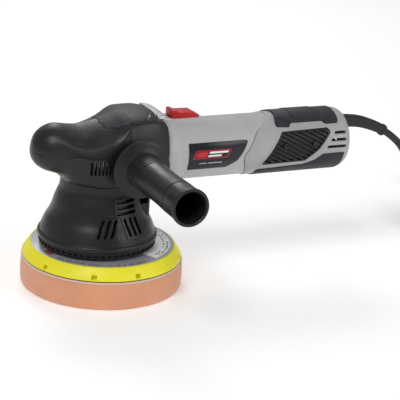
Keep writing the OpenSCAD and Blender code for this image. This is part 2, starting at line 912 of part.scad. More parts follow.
module cooling_fan() {
    fan_r = bore_r - 4.8;
    color("black")
        difference() {
            union() {
                x_cylinder(fan_r, fan_x + fan_len - 2, fan_x + fan_len);
                x_cylinder(9, fan_x, fan_x + fan_len);
                for (i = [0 : fan_blades - 1])
                    translate([fan_x, 0, axis_z])
                        rotate([i * 360 / fan_blades, 0, 0])
                            translate([0, -0.8, 8])
                                cube([fan_len - 1, 1.6, fan_r - 9]);
            }
            x_cylinder(rotor_r + fit, 0, shaft_rear);
        }
}

module bevel_pinion() {
    root = [pinion_r - tooth_root * sin(cone_angle), gear_r + tooth_root * cos(cone_angle)];
    hub_end = 33;
    color("darkgray")
        difference() {
            union() {
                turned_x([
                    [0, root[1] * face_scale], root * face_scale, root, [pinion_r, gear_r + 2],
                    [pinion_r, hub_end], [0, hub_end]
                ]);
                translate([0, 0, axis_z])
                    for (i = [0 : pinion_teeth - 1])
                        rotate([i * 360 / pinion_teeth, 0, 0])
                            bevel_tooth(false);
            }
            x_cylinder(rotor_r + fit, shaft_front - 0.4, hub_end + cut);
        }
}

module front_bearing() {
    color("lightgray")
        translate([front_bearing_x, 0, axis_z])
            rotate([0, 90, 0])
                bearing(front_bearing_r, rotor_r + fit, front_bearing_h);
}

module rear_bearing() {
    color("lightgray")
        translate([rear_bearing_x, 0, axis_z])
            rotate([0, 90, 0])
                bearing(upper_bearing_r, rotor_r + fit, rear_bearing_h);
}

// ---- motor ----

module stator_core() {
    color("gray")
        difference() {
            intersection() {
                x_cylinder(stator_r, stator_x, stator_x + stator_len);
                translate([0, -50, axis_z - stator_flat])
                    cube([200, 100, 2 * stator_flat]);
            }
            x_cylinder(core_r + air_gap, 0, 200);
        }
}

module stator_windings() {
    outer_r = stator_flat - 0.5;
    color("peru")
        union() {
            bored_x(outer_r, core_r + air_gap + 0.4, stator_x - 8, stator_x - fit);
            bored_x(outer_r, core_r + air_gap + 0.4, stator_x + stator_len + fit,
                stator_x + stator_len + 9);
        }
}

module motor_housing() {
    lug_r = 4.2;
    color("#b9bcbc")
        difference() {
            union() {
                turned_x([
                    [0, collar_x], [collar_r, collar_x], [collar_r, collar_end],
                    [tube_r + 1, tube_start - 3], [tube_r, tube_start], [tube_r, 200], [0, 200]
                ]);
                side_prism([
                    [collar_x, 10], [collar_x, bed_top - axis_z],
                    [bed_end - 4, bed_top - axis_z], [bed_end, tube_r - 1.5], [bed_end, 10]
                ], -bed_half, bed_half);
            }
            difference() {
                union() {
                    x_cylinder(collar_r - tube_wall, 0, collar_end);
                    x_cylinder(bore_r, 0, 220);
                }
                screw_ring_x(lug_r, collar_x, collar_x + 8);
            }
            screw_ring_x(case_screw_r * 1.8 + gap, collar_x - cut, collar_x + 4);
            side_prism([for (p = PARTING) [p[0] - 0.1, p[1]], [260, -60], [260, 60]], -60, 60);
            translate([slider_x - switch_travel + 3, -stem_half - gap, axis_z + 10])
                cube([slider_len - 4, 2 * (stem_half + gap), 60]);
        }
}

// Maker's plates on both sides of the tube, with a slanted rear edge
module name_plates() {
    plate_t = 0.5;
    color("#1c2030")
        intersection() {
            difference() {
                x_cylinder(tube_r + plate_t, 60, 160);
                x_cylinder(tube_r + 0.02, 50, 170);
            }
            union() {
                name_plate_outline(-60, 0);
                name_plate_outline(0, 60);
            }
        }
}

module name_plate_outline(y0, y1) {
    side_prism([[80.8, 13], [80.8, -14], [123, -14], [134, -7.5], [139, 0], [146, 12.9]], y0, y1);
}

module rear_shape(r, x1) {
    turned_x(concat(
        [[0, 120], [r, 120]],
        [for (a = [0 : 15 : 90]) [r - rear_round + rear_round * cos(a),
            x1 - rear_round + rear_round * sin(a)]],
        [[0, x1]]
    ));
}

module rear_cover() {
    color("#a6a9aa")
        difference() {
            rear_shape(rear_r, body_len);
            intersection() {
                rear_shape(rear_bore_r, body_len - tube_wall);
                x_cylinder(60, 100, body_len);
            }
            difference() {
                x_cylinder(60, 100, 200);
                side_prism([for (p = PARTING) [p[0] + 0.1, p[1]], [260, -60], [260, 60]], -61, 61);
            }
            x_cylinder(gland_r + fit, body_len - 20, body_len + cut, 0, gland_z);
            for (i = [0 : 2])
                for (s = [-1, 1])
                    rear_vent(i, s);
            grille_screw_places()
                cylinder(r = grille_screw_r + fit, h = 60);
            translate([dial_x - dial_d / 2 - 0.6, -dial_w / 2 - 0.5, dial_z - dial_d / 2 - 0.6])
                cube([dial_d + 10, dial_w + 1, dial_d + 1.2]);
        }
}

module rear_vent(i, s) {
    translate([body_len - 21.4 - i * rear_vent_step, s > 0 ? 15 : -60, axis_z + 11.8 - i * rear_vent_drop])
        cube([13.4 + i * rear_vent_step, 45, 2.8]);
}

// Ring sector shapes that lie on the rear cover
module rear_skin(h) {
    difference() {
        x_cylinder(rear_r + h, 120, body_len - rear_round);
        x_cylinder(rear_r + 0.02, 110, body_len);
    }
}

// Wedge of the space round the motor's axis, between two angles from the top on each side
module side_wedge(angle, x0, x1) {
    reach = 60;
    translate([x0, 0, axis_z])
        rotate([90, 0, 90])
            linear_extrude(height = x1 - x0)
                polygon([[0, 0], [-reach * tan(angle), reach], [reach * tan(angle), reach]]);
}

module rear_top_grip() {
    color("#2f3133")
        intersection() {
            rear_skin(top_grip_h);
            union() {
                side_wedge(top_grip_short_angle, body_len - 84, body_len - 14);
                side_wedge(top_grip_angle, body_len - 85.5, body_len - 70.5);
                side_wedge(top_grip_angle, body_len - 29.5, body_len - 14);
            }
        }
}

module rear_bottom_grip() {
    color("#3a3b3c")
        intersection() {
            rear_skin(inlay_h);
            side_prism([
                [body_len - 105.5, -40], [body_len - 105, -21.5], [body_len - 53, -19],
                [body_len - 42, -15], [body_len - 33, -8], [body_len - 9, -7.4],
                [body_len - 9, -22], [body_len - 12, -40]
            ], -60, 60);
        }
}

module side_grilles() {
    grooves = 13;
    groove_pitch = 4.6;
    groove_slope = 27;
    groove_t = 1.6;
    reach = 2 * rear_r;
    color("#1d1f20")
        difference() {
            intersection() {
                rear_skin(grille_h);
                side_prism([
                    [body_len - 103, -15], [body_len - 81, 17.5], [body_len - 29, 18.5],
                    [body_len - 25, 15], [body_len - 39, -2], [body_len - 53, -14]
                ], -reach, reach);
            }
            for (i = [0 : grooves - 1])
                translate([body_len - 109, -reach, axis_z - 6 + i * groove_pitch])
                    rotate([0, groove_slope, 0])
                        difference() {
                            cube([90, 2 * reach, groove_t]);
                            translate([-cut, reach - rear_r - 0.3, -cut])
                                cube([100, 2 * rear_r + 0.6, groove_t + 2 * cut]);
                        }
            grille_screw_places()
                cylinder(r = grille_head_r + gap, h = reach);
        }
}

module grille_screw_places() {
    for (s = [-1, 1])
        for (p = [[body_len - 78, 4], [body_len - 44, 4]])
            translate([p[0], 0, axis_z + p[1]])
                rotate([s * 90, 0, 0])
                    children();
}

module grille_screws() {
    color("dimgray")
        grille_screw_places()
            translate([0, 0, rear_r])
                difference() {
                    union() {
                        translate([0, 0, fit])
                            cylinder(r = grille_head_r, h = 1.5);
                        translate([0, 0, -tube_wall - 0.4])
                            cylinder(r = grille_screw_r, h = tube_wall + cut);
                    }
                    translate([-0.5, -2, 0.9])
                        cube([1, 4, 2]);
                }
}

module brush_frame() {
    color("#4a4d50")
        difference() {
            union() {
                x_cylinder(rear_bore_r - 0.5, frame_x, frame_x + frame_len);
                for (s = [-1, 1])
                    translate([brush_x - 7, s * 20 - 6.5, axis_z - 8])
                        cube([frame_x - brush_x + 8, 13, 16]);
            }
            x_cylinder(upper_bearing_r + fit, frame_x - cut, rear_bearing_x + rear_bearing_h + 0.3);
            x_cylinder(rotor_r + 2, frame_x, frame_x + frame_len + cut);
            for (s = [-1, 1])
                translate([brush_x - 4.6, s * 20 - 10, axis_z - 5.1])
                    cube([9.2, 20, 10.2]);
            for (a = [45 : 90 : 315])
                translate([frame_x - cut, 0, axis_z])
                    rotate([a, 0, 0])
                        translate([0, -5, 14])
                            cube([frame_len + 2 * cut, 10, 9]);
            // The link rod passes over the frame
            translate([frame_x - cut, -4, link_z - 3])
                cube([frame_len + 2 * cut, 8, 10]);
        }
}

module brush_holders() {
    color("goldenrod")
        for (s = [-1, 1])
            difference() {
                translate([brush_x - 4.5, s * 19.5 - 6.5, axis_z - 5])
                    cube([9, 13, 10]);
                translate([brush_x - 3.5, s * 19.5 - 10, axis_z - 4])
                    cube([7, 20, 8]);
            }
}

module carbon_brushes() {
    brush_len = 9;
    color("#222222")
        for (s = [-1, 1])
            translate([brush_x - 3.4, s * (commutator_r + 0.2 + brush_len / 2) - brush_len / 2,
                axis_z - 3.9])
                cube([6.8, brush_len, 7.8]);
}

module brush_springs() {
    spring_y = commutator_r + 12;
    color("silver")
        for (s = [-1, 1])
            y_cylinder(2.4, s * spring_y - 2.6, s * spring_y + 2.6, brush_x, axis_z);
}

// ---- switch and electronics ----

module switch_slider() {
    base_z = bed_top + gap;
    slider_h = 5.4;
    color("crimson")
        union() {
            side_prism([
                [slider_x, base_z - axis_z], [slider_x - 0.8, base_z + slider_h + 2 - axis_z],
                [slider_x + 4, base_z + slider_h + 1.6 - axis_z],
                [slider_x + 8, base_z + slider_h - axis_z],
                [slider_x + slider_len - 9, base_z + slider_h - axis_z],
                [slider_x + slider_len, base_z + 1 - axis_z], [slider_x + slider_len, base_z - axis_z]
            ], -slider_half, slider_half);
            translate([slider_x + 6, -stem_half, link_z])
                cube([16, 2 * stem_half, base_z - link_z + cut]);
        }
}

module switch_link() {
    color("#d8d8d0")
        union() {
            x_cylinder(link_r, slider_x + 8, switch_x - gap, 0, link_z - link_r - fit);
            translate([slider_x + 10, -3, link_z - 2 * link_r - fit])
                cube([10, 6, 2 * link_r]);
        }
}

module switch_unit() {
    color("#26282a")
        translate([switch_x, -9, axis_z + 4])
            cube([24, 18, link_z - axis_z - 4.5]);
}

module control_board() {
    color("seagreen")
        translate([body_len - 63, -16, axis_z - 9])
            cube([46, 32, 1.6]);
}

module capacitor() {
    color("gold")
        translate([body_len - 57, -10, axis_z - 7.4 + fit])
            cube([18, 20, 9]);
}

module speed_dial() {
    grips = 18;
    dial_r = dial_d / 2;
    color("crimson")
        difference() {
            y_cylinder(dial_r, -dial_w / 2, dial_w / 2, dial_x, dial_z);
            for (i = [0 : grips - 1])
                translate([dial_x, 0, dial_z])
                    rotate([0, i * 360 / grips, 0])
                        translate([dial_r - 0.7, -dial_w, -0.6])
                            cube([2, 2 * dial_w, 1.2]);
            y_cylinder(1.6, -dial_w, dial_w, dial_x, dial_z);
        }
}

// ---- side handle ----

module side_handle() {
    bowl = 3.6;
    wall_end = handle_len - 62;
    hollow_r = handle_hollow_d / 2;
    color("#2b2f31")
        translate([handle_x, -handle_y, handle_z])
            rotate([90, 0, 0])
                difference() {
                    rotate_extrude()
                        polygon([
                            [0, -handle_foot], [flange_r - 3, -handle_foot],
                            [flange_r - 0.8, -3], [flange_r, -1.6], [flange_r - 0.4, -0.4],
                            [flange_r - 1.6, 0], [flange_r - 3.4, -0.4], [grip_r + 5, -bowl + 1.6],
                            [grip_r + 1.6, 1.5], [grip_r, 8], [grip_r - 0.6, 34],
                            [grip_r + 0.4, 60], [grip_r + 0.4, handle_len - 20],
                            [grip_r + 0.8, handle_len - 5], [grip_r + 1.3, handle_len - 3],
                            [grip_r + 1.3, handle_len - 0.8], [grip_r + 0.6, handle_len],
                            [0, handle_len]
                        ]);
                    translate([0, 0, wall_end])
                        cylinder(r = hollow_r, h = handle_len);
                    translate([0, 0, -handle_foot - cut])
                        cylinder(r = thread_d / 2 + fit, h = handle_foot + 26);
                    for (i = [0 : 4])
                        translate([0, 0, 13 + i * 5])
                            ring_groove(grip_r + 1);
                    translate([0, 0, handle_len - 26])
                        ring_groove(grip_r + 1.4);
                }
}

module ring_groove(r) {
    difference() {
        cylinder(r = r + 2, h = groove_w);
        translate([0, 0, -cut])
            cylinder(r = r - 1 - groove_depth, h = groove_w + 2 * cut);
    }
}

module handle_stud() {
    color("silver")
        y_cylinder(thread_d / 2 - fit, -handle_y - 20, -case_boss_end + stud_depth - 2, handle_x, handle_z);
}

// ---- cord ----

module strain_relief() {
    radii = [for (i = [0 : len(GLAND_POINTS) - 1])
        gland_r + (gland_tip_r - gland_r) * i / (len(GLAND_POINTS) - 1)];
    color("#202223")
        swept_tube(GLAND_POINTS, radii, 20);
}

module cord_clamp() {
    color("#202223")
        x_cylinder(gland_r, body_len - 16, body_len - fit, 0, gland_z);
}

module cord() {
    color("#1a1b1c")
        union() {
            swept_tube(CORD_POINTS, [for (p = CORD_POINTS) cord_r], 8);
            swept_tube(TAIL_POINTS, [for (p = TAIL_POINTS) cord_r], 8);
        }
}

module cord_coil() {
    color("#1a1b1c")
        translate([coil_x, coil_y, coil_z])
            rotate_extrude()
                translate([coil_r, 0])
                    circle(r = coil_bundle_r, $fn = 24);
}

// Strap round the coil's bundle, on the side away from the machine
module cord_tie() {
    tie_angle = 11;
    color("#111111")
        translate([coil_x, coil_y, coil_z])
            rotate([0, 0, 90 - tie_angle / 2])
                rotate_extrude(angle = tie_angle)
                    translate([coil_r, 0])
                        difference() {
                            circle(r = coil_bundle_r + fit + tie_t, $fn = 48);
                            circle(r = coil_bundle_r + fit, $fn = 48);
                        }
}

module plug() {
    end = TAIL_POINTS[len(TAIL_POINTS) - 1];
    color("#1f2021")
        translate(end)
            rotate([0, 90, plug_angle])
                union() {
                    cylinder(r1 = cord_r + 1, r2 = 9, h = 14);
                    translate([0, 0, 14])
                        cylinder(r1 = 11, r2 = plug_r, h = 10);
                    translate([0, 0, 24])
                        cylinder(r = plug_r, h = plug_len - 24);
                }
}

module plug_pins() {
    end = TAIL_POINTS[len(TAIL_POINTS) - 1];
    color("silver")
        translate(end)
            rotate([0, 90, plug_angle])
                for (s = [-1, 1])
                    translate([0, s * 9.5, plug_len])
                        cylinder(r = 2.4, h = 19);
}

foam_pad();
loop_layer();
hook_layer();
backing_plate();
plate_sticker();
plate_hub();
pad_spindle();
pad_screw();
eccentric_weight();
pad_bearing();
output_spindle();
bevel_gear();
lower_bearing();
upper_bearing();
gear_case();
bearing_plate();
case_screws();
shroud();
shroud_ring();
shroud_screws();
head_cover_upper();
head_cover_lower();
head_patch();
cover_screws();
armature_shaft();
armature_core();
armature_windings();
commutator();
cooling_fan();
bevel_pinion();
front_bearing();
rear_bearing();
stator_core();
stator_windings();
motor_housing();
name_plates();
rear_cover();
rear_top_grip();
rear_bottom_grip();
side_grilles();
grille_screws();
brush_frame();
brush_holders();
carbon_brushes();
brush_springs();
switch_slider();
switch_link();
switch_unit();
control_board();
capacitor();
speed_dial();
side_handle();
handle_stud();
strain_relief();
cord_clamp();
cord();
cord_coil();
cord_tie();
plug();
plug_pins();
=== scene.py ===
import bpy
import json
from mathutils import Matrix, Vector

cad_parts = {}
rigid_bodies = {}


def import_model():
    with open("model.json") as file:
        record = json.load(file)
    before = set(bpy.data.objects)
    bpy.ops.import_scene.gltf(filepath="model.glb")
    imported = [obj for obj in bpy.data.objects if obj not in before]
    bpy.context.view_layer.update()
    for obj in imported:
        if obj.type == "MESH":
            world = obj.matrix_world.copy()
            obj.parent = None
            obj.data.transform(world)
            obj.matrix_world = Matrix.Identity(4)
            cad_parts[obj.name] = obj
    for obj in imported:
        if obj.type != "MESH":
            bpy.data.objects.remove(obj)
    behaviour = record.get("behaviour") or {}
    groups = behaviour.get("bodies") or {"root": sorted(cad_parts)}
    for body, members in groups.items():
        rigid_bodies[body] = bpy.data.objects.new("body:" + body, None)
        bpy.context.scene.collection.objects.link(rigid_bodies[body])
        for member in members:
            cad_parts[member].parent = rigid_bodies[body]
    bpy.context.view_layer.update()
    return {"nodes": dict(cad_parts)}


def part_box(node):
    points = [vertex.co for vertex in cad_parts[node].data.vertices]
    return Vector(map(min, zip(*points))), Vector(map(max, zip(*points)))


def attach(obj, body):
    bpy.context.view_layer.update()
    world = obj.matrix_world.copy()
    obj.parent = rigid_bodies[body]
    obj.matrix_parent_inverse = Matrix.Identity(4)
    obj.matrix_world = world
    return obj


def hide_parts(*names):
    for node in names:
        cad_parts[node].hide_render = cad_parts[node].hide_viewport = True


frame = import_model()

import json
import math

import bmesh
import bpy
from bpy.props import FloatProperty, FloatVectorProperty, IntProperty, PointerProperty
from mathutils import Matrix, Vector, noise

bl_info = {
    "name": "Dual action polisher",
    "version": (1, 0, 0),
    "blender": (4, 5, 0),
    "location": "View3D > Sidebar > Polisher",
    "description": "Builds the visible pieces of a dual action polisher on its packed frame",
    "category": "Object",
}

# Points and sizes in this file are in millimetres until a mesh is made
MM = 0.001


# ---- sizes that come from the frame ----

def corners(node):
    """Lowest and highest corner of a CAD node, in millimetres"""
    low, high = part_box(node)
    return low / MM, high / MM


def middle(node):
    """Centre of a CAD node's box, in millimetres"""
    low, high = corners(node)
    return (low + high) / 2


AXIS_Z = middle("armature_shaft").z
PARTING_Z = corners("head_cover_upper")[0].z - 0.1
HUMP_TOP = corners("head_cover_upper")[1].z
NOSE_X = corners("head_cover_lower")[0].x
HEAD_REAR = corners("head_cover_lower")[1].x
HEAD_HALF = corners("head_cover_lower")[1].y
FOOT_Z = corners("shroud_ring")[0].z
RING_TOP = corners("shroud_ring")[1].z
RING_R = corners("shroud_ring")[1].y
NECK_Z = corners("shroud")[1].z
RIM_R = corners("shroud")[1].y
PAD_X = middle("foam_pad").x
PAD_R = corners("foam_pad")[1].y
FOAM_TOP = corners("foam_pad")[1].z
LOOP_TOP = corners("loop_layer")[1].z
PLATE_Z = corners("backing_plate")[0].z
PLATE_TOP = corners("backing_plate")[1].z
PLATE_R = corners("backing_plate")[1].y
DISC_R = corners("plate_sticker")[1].y
COLLAR_X = corners("motor_housing")[0].x
COLLAR_R = corners("motor_housing")[1].y
BED_TOP = corners("motor_housing")[1].z
REAR_R = corners("rear_cover")[1].y
REAR_END = corners("rear_cover")[1].x
TUBE_R = REAR_R - 0.8
SLIDER_X = corners("switch_slider")[0].x + 0.8
SLIDER_END = corners("switch_slider")[1].x
SLIDER_TOP = corners("switch_slider")[1].z
HANDLE = middle("side_handle")
HANDLE_FOOT = corners("side_handle")[1].y
HANDLE_END = corners("side_handle")[0].y
FLANGE_R = (corners("side_handle")[1].x - corners("side_handle")[0].x) / 2
DIAL = middle("speed_dial")
DIAL_R = (corners("speed_dial")[1].z - corners("speed_dial")[0].z) / 2
COIL = middle("cord_coil")


# ---- values that a user may change ----

def length_property(label, words, value, low, high):
    """Length property, given in millimetres"""
    return FloatProperty(name=label, description=words, default=value * MM, min=low * MM,
                         max=high * MM, subtype="DISTANCE", unit="LENGTH")


def count_property(label, words, value, low, high):
    """Property for a number of like features"""
    return IntProperty(name=label, description=words, default=value, min=low, max=high)


def colour_property(label, words, value):
    """Colour property in linear light"""
    return FloatVectorProperty(
        name=label, description=words, subtype="COLOR", size=3, min=0, max=1, default=value)


class PolisherSizes(bpy.types.PropertyGroup):
    """Sizes of the visible pieces"""

    neck_diameter: length_property(
        "Neck diameter", "Diameter of the shroud's neck under the head", 76.6, 60, 90)
    cover_wall: length_property(
        "Cover wall", "Wall of the head covers and the shroud", 3, 2, 4)
    seam: length_property(
        "Seam", "Width of the groove round inlays", 0.5, 0.2, 1)
    head_vents: count_property(
        "Head vents", "Number of vent slots on each side of the head", 7, 3, 9)
    ring_windows: count_property(
        "Ring windows", "Number of windows in the ring under the shroud", 56, 24, 72)
    grille_ribs: count_property(
        "Grille ribs", "Number of slanted ribs in each side grille", 15, 6, 20)
    dial_grips: count_property(
        "Dial grips", "Number of grips round the speed dial", 24, 12, 36)
    grip_diameter: length_property(
        "Grip diameter", "Diameter of the side handle's grip", 34, 30, 42)
    hollow_diameter: length_property(
        "Handle hollow", "Diameter of the hollow in the handle's open end", 30, 18, 30.5)
    cord_diameter: length_property(
        "Cord diameter", "Diameter of the mains cord", 7.6, 6, 9)


class PolisherColours(bpy.types.PropertyGroup):
    """Colours of the visible pieces"""

    cover: colour_property("Covers", "Head covers, shroud and handle", (0.0075, 0.0081, 0.0092))
    patch: colour_property("Hump patch", "Soft patch on the hump", (0.0125, 0.0145, 0.0185))
    housing: colour_property("Housing", "Motor housing", (0.42, 0.425, 0.427))
    rear: colour_property("Rear cover", "Rear cover of the body", (0.365, 0.37, 0.372))
    switch: colour_property("Switch", "Slider and speed dial", (0.50, 0.006, 0.009))
    plate: colour_property("Backing plate", "Moulded backing plate", (0.86, 0.79, 0.025))
    foam: colour_property("Foam", "Foam of the pad", (0.74, 0.335, 0.185))
    floor: colour_property("Floor", "Studio floor", (0.93, 0.93, 0.93))


# ---- shapes: each is (points, faces), in millimetres ----

def lathe(outline, steps=128):
    """Closed outline of (radius, height) turned about Z"""
    n = len(outline)
    points = [
        (r * math.cos(a), r * math.sin(a), z)
        for a in (2 * math.pi * s / steps for s in range(steps))
        for r, z in outline
    ]
    faces = [
        (s * n + i, (s + 1) % steps * n + i, (s + 1) % steps * n + (i + 1) % n, s * n + (i + 1) % n)
        for s in range(steps)
        for i in range(n)
    ]
    return points, faces


def moved(shape, matrix):
    """Shape after a matrix"""
    return [tuple(matrix @ Vector(p)) for p in shape[0]], shape[1]


def along_x(shape, x=0.0, y=0.0, z=None):
    """Shape about Z laid along X, on the motor's axis"""
    z = AXIS_Z if z is None else z
    return [(p[2] + x, p[0] + y, p[1] + z) for p in shape[0]], shape[1]


def joined(*shapes):
    """Several shapes as one, side by side"""
    points, faces = [], []
    for shape in shapes:
        faces += [tuple(i + len(points) for i in face) for face in shape[1]]
        points += shape[0]
    return points, faces


def prism(outline, low, high):
    """Outline of (x, y) raised from z = low to z = high"""
    n = len(outline)
    points = [(x, y, low) for x, y in outline] + [(x, y, high) for x, y in outline]
    faces = [tuple(range(n))[::-1], tuple(range(n, 2 * n))]
    faces += [(i, (i + 1) % n, n + (i + 1) % n, n + i) for i in range(n)]
    return points, faces


def side_prism(outline, y0, y1, z=None):
    """Outline of (x, height over the motor's axis) carried across Y"""
    z = AXIS_Z if z is None else z
    points, faces = prism(outline, y0, y1)
    return [(x, y, h + z) for x, h, y in points], faces


def block(low, high):
    """Box between two corners"""
    return prism([(low[0], low[1]), (high[0], low[1]), (high[0], high[1]), (low[0], high[1])],
                 low[2], high[2])


def rounded(outline, radius, steps=6):
    """Outline with rounded corners; radius is one number, or one for each corner"""
    n = len(outline)
    radii = radius if isinstance(radius, (list, tuple)) else [radius] * n
    points = []
    for i, corner in enumerate(outline):
        c = Vector(corner)
        a, b = Vector(outline[i - 1]) - c, Vector(outline[(i + 1) % n]) - c
        half = a.angle(b) / 2
        reach = min(radii[i] / math.tan(half), 0.49 * a.length, 0.49 * b.length)
        if radii[i] <= 0 or reach < 0.02:
            points.append(tuple(c))
            continue
        r = reach * math.tan(half)
        centre = c + (a.normalized() + b.normalized()).normalized() * (r / math.sin(half))
        start, end = c + a.normalized() * reach - centre, c + b.normalized() * reach - centre
        turn = start.angle_signed(end)
        for s in range(steps + 1):
            t = -turn * s / steps
            points.append((centre.x + start.x * math.cos(t) - start.y * math.sin(t),
                           centre.y + start.x * math.sin(t) + start.y * math.cos(t)))
    return points


def grown(outline, by):
    """Outline moved outwards, or inwards where by is negative"""
    n = len(outline)
    area = sum(outline[i - 1][0] * outline[i][1] - outline[i][0] * outline[i - 1][1]
               for i in range(n))
    sign = 1 if area > 0 else -1
    out = []
    for i in range(n):
        p, q, r = (Vector(outline[k]) for k in (i - 1, i, (i + 1) % n))
        a, b = (q - p), (r - q)
        a = a.normalized() if a.length > 1e-9 else b.normalized()
        b = b.normalized() if b.length > 1e-9 else a
        na, nb = Vector((a.y, -a.x)) * sign, Vector((b.y, -b.x)) * sign
        m = (na + nb).normalized()
        out.append(tuple(q + m * by / max(0.35, m.dot(na))))
    return out


def tube(path, radii, sides=16):
    """Closed tube of changing radius along points"""
    path = [Vector(p) for p in path]
    ahead = [(path[min(i + 1, len(path) - 1)] - path[max(i - 1, 0)]).normalized()
             for i in range(len(path))]
    side = ahead[0].cross(Vector((0, 0, 1)))
    side = side.normalized() if side.length > 1e-6 else Vector((0, 1, 0))
    points = []
    for i, (p, d) in enumerate(zip(path, ahead)):
        side = (side - d * side.dot(d)).normalized()
        over = d.cross(side)
        for s in range(sides):
            a = 2 * math.pi * s / sides
            points.append(tuple(p + radii[i] * (math.cos(a) * side + math.sin(a) * over)))
    faces = [(i * sides + s, i * sides + (s + 1) % sides, (i + 1) * sides + (s + 1) % sides,
              (i + 1) * sides + s) for i in range(len(path) - 1) for s in range(sides)]
    last = (len(path) - 1) * sides
    faces += [tuple(range(sides))[::-1], tuple(range(last, last + sides))]
    return points, faces


# ---- pieces ----

def drop_loose(bm):
    """Removes edges and points that no face uses"""
    bmesh.ops.delete(bm, geom=[e for e in bm.edges if not e.link_faces], context="EDGES")
    bmesh.ops.delete(bm, geom=[v for v in bm.verts if not v.link_faces], context="VERTS")


def mesh_of(name, shape):
    """Mesh in metres, with doubles merged and faces outwards"""
    bm = bmesh.new()
    corners_made = [bm.verts.new(Vector(p) * MM) for p in shape[0]]
    for face in shape[1]:
        if len(set(face)) > 2:
            bm.faces.new([corners_made[i] for i in face])
    bmesh.ops.remove_doubles(bm, verts=bm.verts, dist=2e-6)
    bmesh.ops.dissolve_degenerate(bm, edges=bm.edges, dist=1e-6)
    drop_loose(bm)
    bmesh.ops.recalc_face_normals(bm, faces=bm.faces)
    mesh = bpy.data.meshes.new(name)
    bm.to_mesh(mesh)
    bm.free()
    return mesh


def placed(name, data):
    """New object in the scene"""
    made = bpy.data.objects.new(name, data)
    bpy.context.scene.collection.objects.link(made)
    return made


def discard(piece):
    """Removes an object with its mesh"""
    mesh = piece.data
    bpy.data.objects.remove(piece)
    bpy.data.meshes.remove(mesh)


def solid(name, shape):
    """New object of a shape"""
    return placed(name, mesh_of(name, shape))


def shape_of(piece):
    """Shape of a piece's mesh; the piece is removed"""
    shape = ([tuple(v.co / MM) for v in piece.data.vertices],
             [tuple(p.vertices) for p in piece.data.polygons])
    discard(piece)
    return shape


def settle(piece):
    """Turns a piece's modifiers into plain mesh"""
    shaped = piece.evaluated_get(bpy.context.evaluated_depsgraph_get())
    mesh = bpy.data.meshes.new_from_object(shaped)
    piece.modifiers.clear()
    old, piece.data = piece.data, mesh
    bpy.data.meshes.remove(old)
    return piece


def combine(piece, operation, *shapes):
    """Adds, cuts or keeps the common space of shapes, one after another"""
    for shape in shapes:
        tool = solid("tool", shape)
        step = piece.modifiers.new("shape", "BOOLEAN")
        step.operation, step.solver, step.object = operation, "MANIFOLD", tool
        settle(piece)
        discard(tool)
    return piece


def add(piece, *shapes):
    return combine(piece, "UNION", *shapes)


def cut(piece, *shapes):
    return combine(piece, "DIFFERENCE", *shapes)


def keep(piece, *shapes):
    return combine(piece, "INTERSECT", *shapes)


def soften(piece, width, segments=2, angle=32):
    """Rounds a piece's sharp edges"""
    bm = bmesh.new()
    bm.from_mesh(piece.data)
    bmesh.ops.remove_doubles(bm, verts=bm.verts, dist=5e-6)
    bmesh.ops.dissolve_degenerate(bm, edges=bm.edges, dist=5e-6)
    bmesh.ops.dissolve_limit(bm, angle_limit=math.radians(0.4), verts=bm.verts, edges=bm.edges)
    drop_loose(bm)
    bm.to_mesh(piece.data)
    bm.free()
    step = piece.modifiers.new("edges", "BEVEL")
    step.width, step.segments, step.limit_method = width, segments, "ANGLE"
    step.angle_limit, step.use_clamp_overlap = math.radians(angle), True
    step.miter_outer = "MITER_ARC"
    return settle(piece)


def settled_piece(piece, finish, body, *replaced, angle=35):
    """Gives a finished piece its material, smooth shading and CAD body"""
    piece.data.materials.clear()
    piece.data.materials.append(finish_of(finish))
    piece.data.shade_smooth()
    piece.data.set_sharp_from_angle(angle=math.radians(angle))
    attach(piece, body)
    if replaced:
        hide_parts(*replaced)
    return piece


# ---- node trees ----

def new_tree(kind, name, inputs, outputs):
    """Empty node tree with named inputs (name, kind, value) and outputs (name, kind)"""
    tree = bpy.data.node_groups.new(name, kind)
    for label, socket_type, value in inputs:
        socket = tree.interface.new_socket(name=label, in_out="INPUT", socket_type=socket_type)
        if value is not None:
            socket.default_value = value
    for label, socket_type in outputs:
        tree.interface.new_socket(name=label, in_out="OUTPUT", socket_type=socket_type)
    return tree, tree.nodes.new("NodeGroupInput").outputs, tree.nodes.new("NodeGroupOutput").inputs


class Nodes:
    """Lays out nodes in one tree; a value may be a number, a colour or another node's socket"""

    def __init__(self, tree):
        self.tree = tree

    def put(self, socket, value):
        if isinstance(value, bpy.types.NodeSocket):
            self.tree.links.new(value, socket)
        else:
            socket.default_value = value

    def node(self, kind, inputs=None, **settings):
        made = self.tree.nodes.new(kind)
        for key, value in settings.items():
            setattr(made, key, value)
        for key, value in (inputs or {}).items():
            self.put(made.inputs[key], value)
        return made

    def math(self, operation, *values, clamp=False):
        return self.node("ShaderNodeMath", dict(enumerate(values)), operation=operation,
                         use_clamp=clamp).outputs[0]

    def remap(self, value, low, high, to_low=0.0, to_high=1.0):
        return self.node("ShaderNodeMapRange", {0: value, 1: low, 2: high, 3: to_low, 4: to_high},
                         clamp=True).outputs[0]

    def mix(self, share, a, b):
        return self.node("ShaderNodeMix", {0: share, 6: a, 7: b}, data_type="RGBA").outputs[2]

    def noise(self, vector, scale, detail=2.0, rough=0.5):
        return self.node("ShaderNodeTexNoise", {"Vector": vector, "Scale": scale, "Detail": detail,
                                                "Roughness": rough}).outputs["Fac"]

    def group(self, tree, **inputs):
        made = self.node("ShaderNodeGroup", node_tree=tree)
        for key, value in inputs.items():
            self.put(made.inputs[key], value)
        return made.outputs

    def inside(self, value, low, high):
        """1 between low and high, 0 outside"""
        return self.math("MULTIPLY", self.math("GREATER_THAN", value, low),
                         self.math("LESS_THAN", value, high))


# ---- geometry nodes for what repeats ----

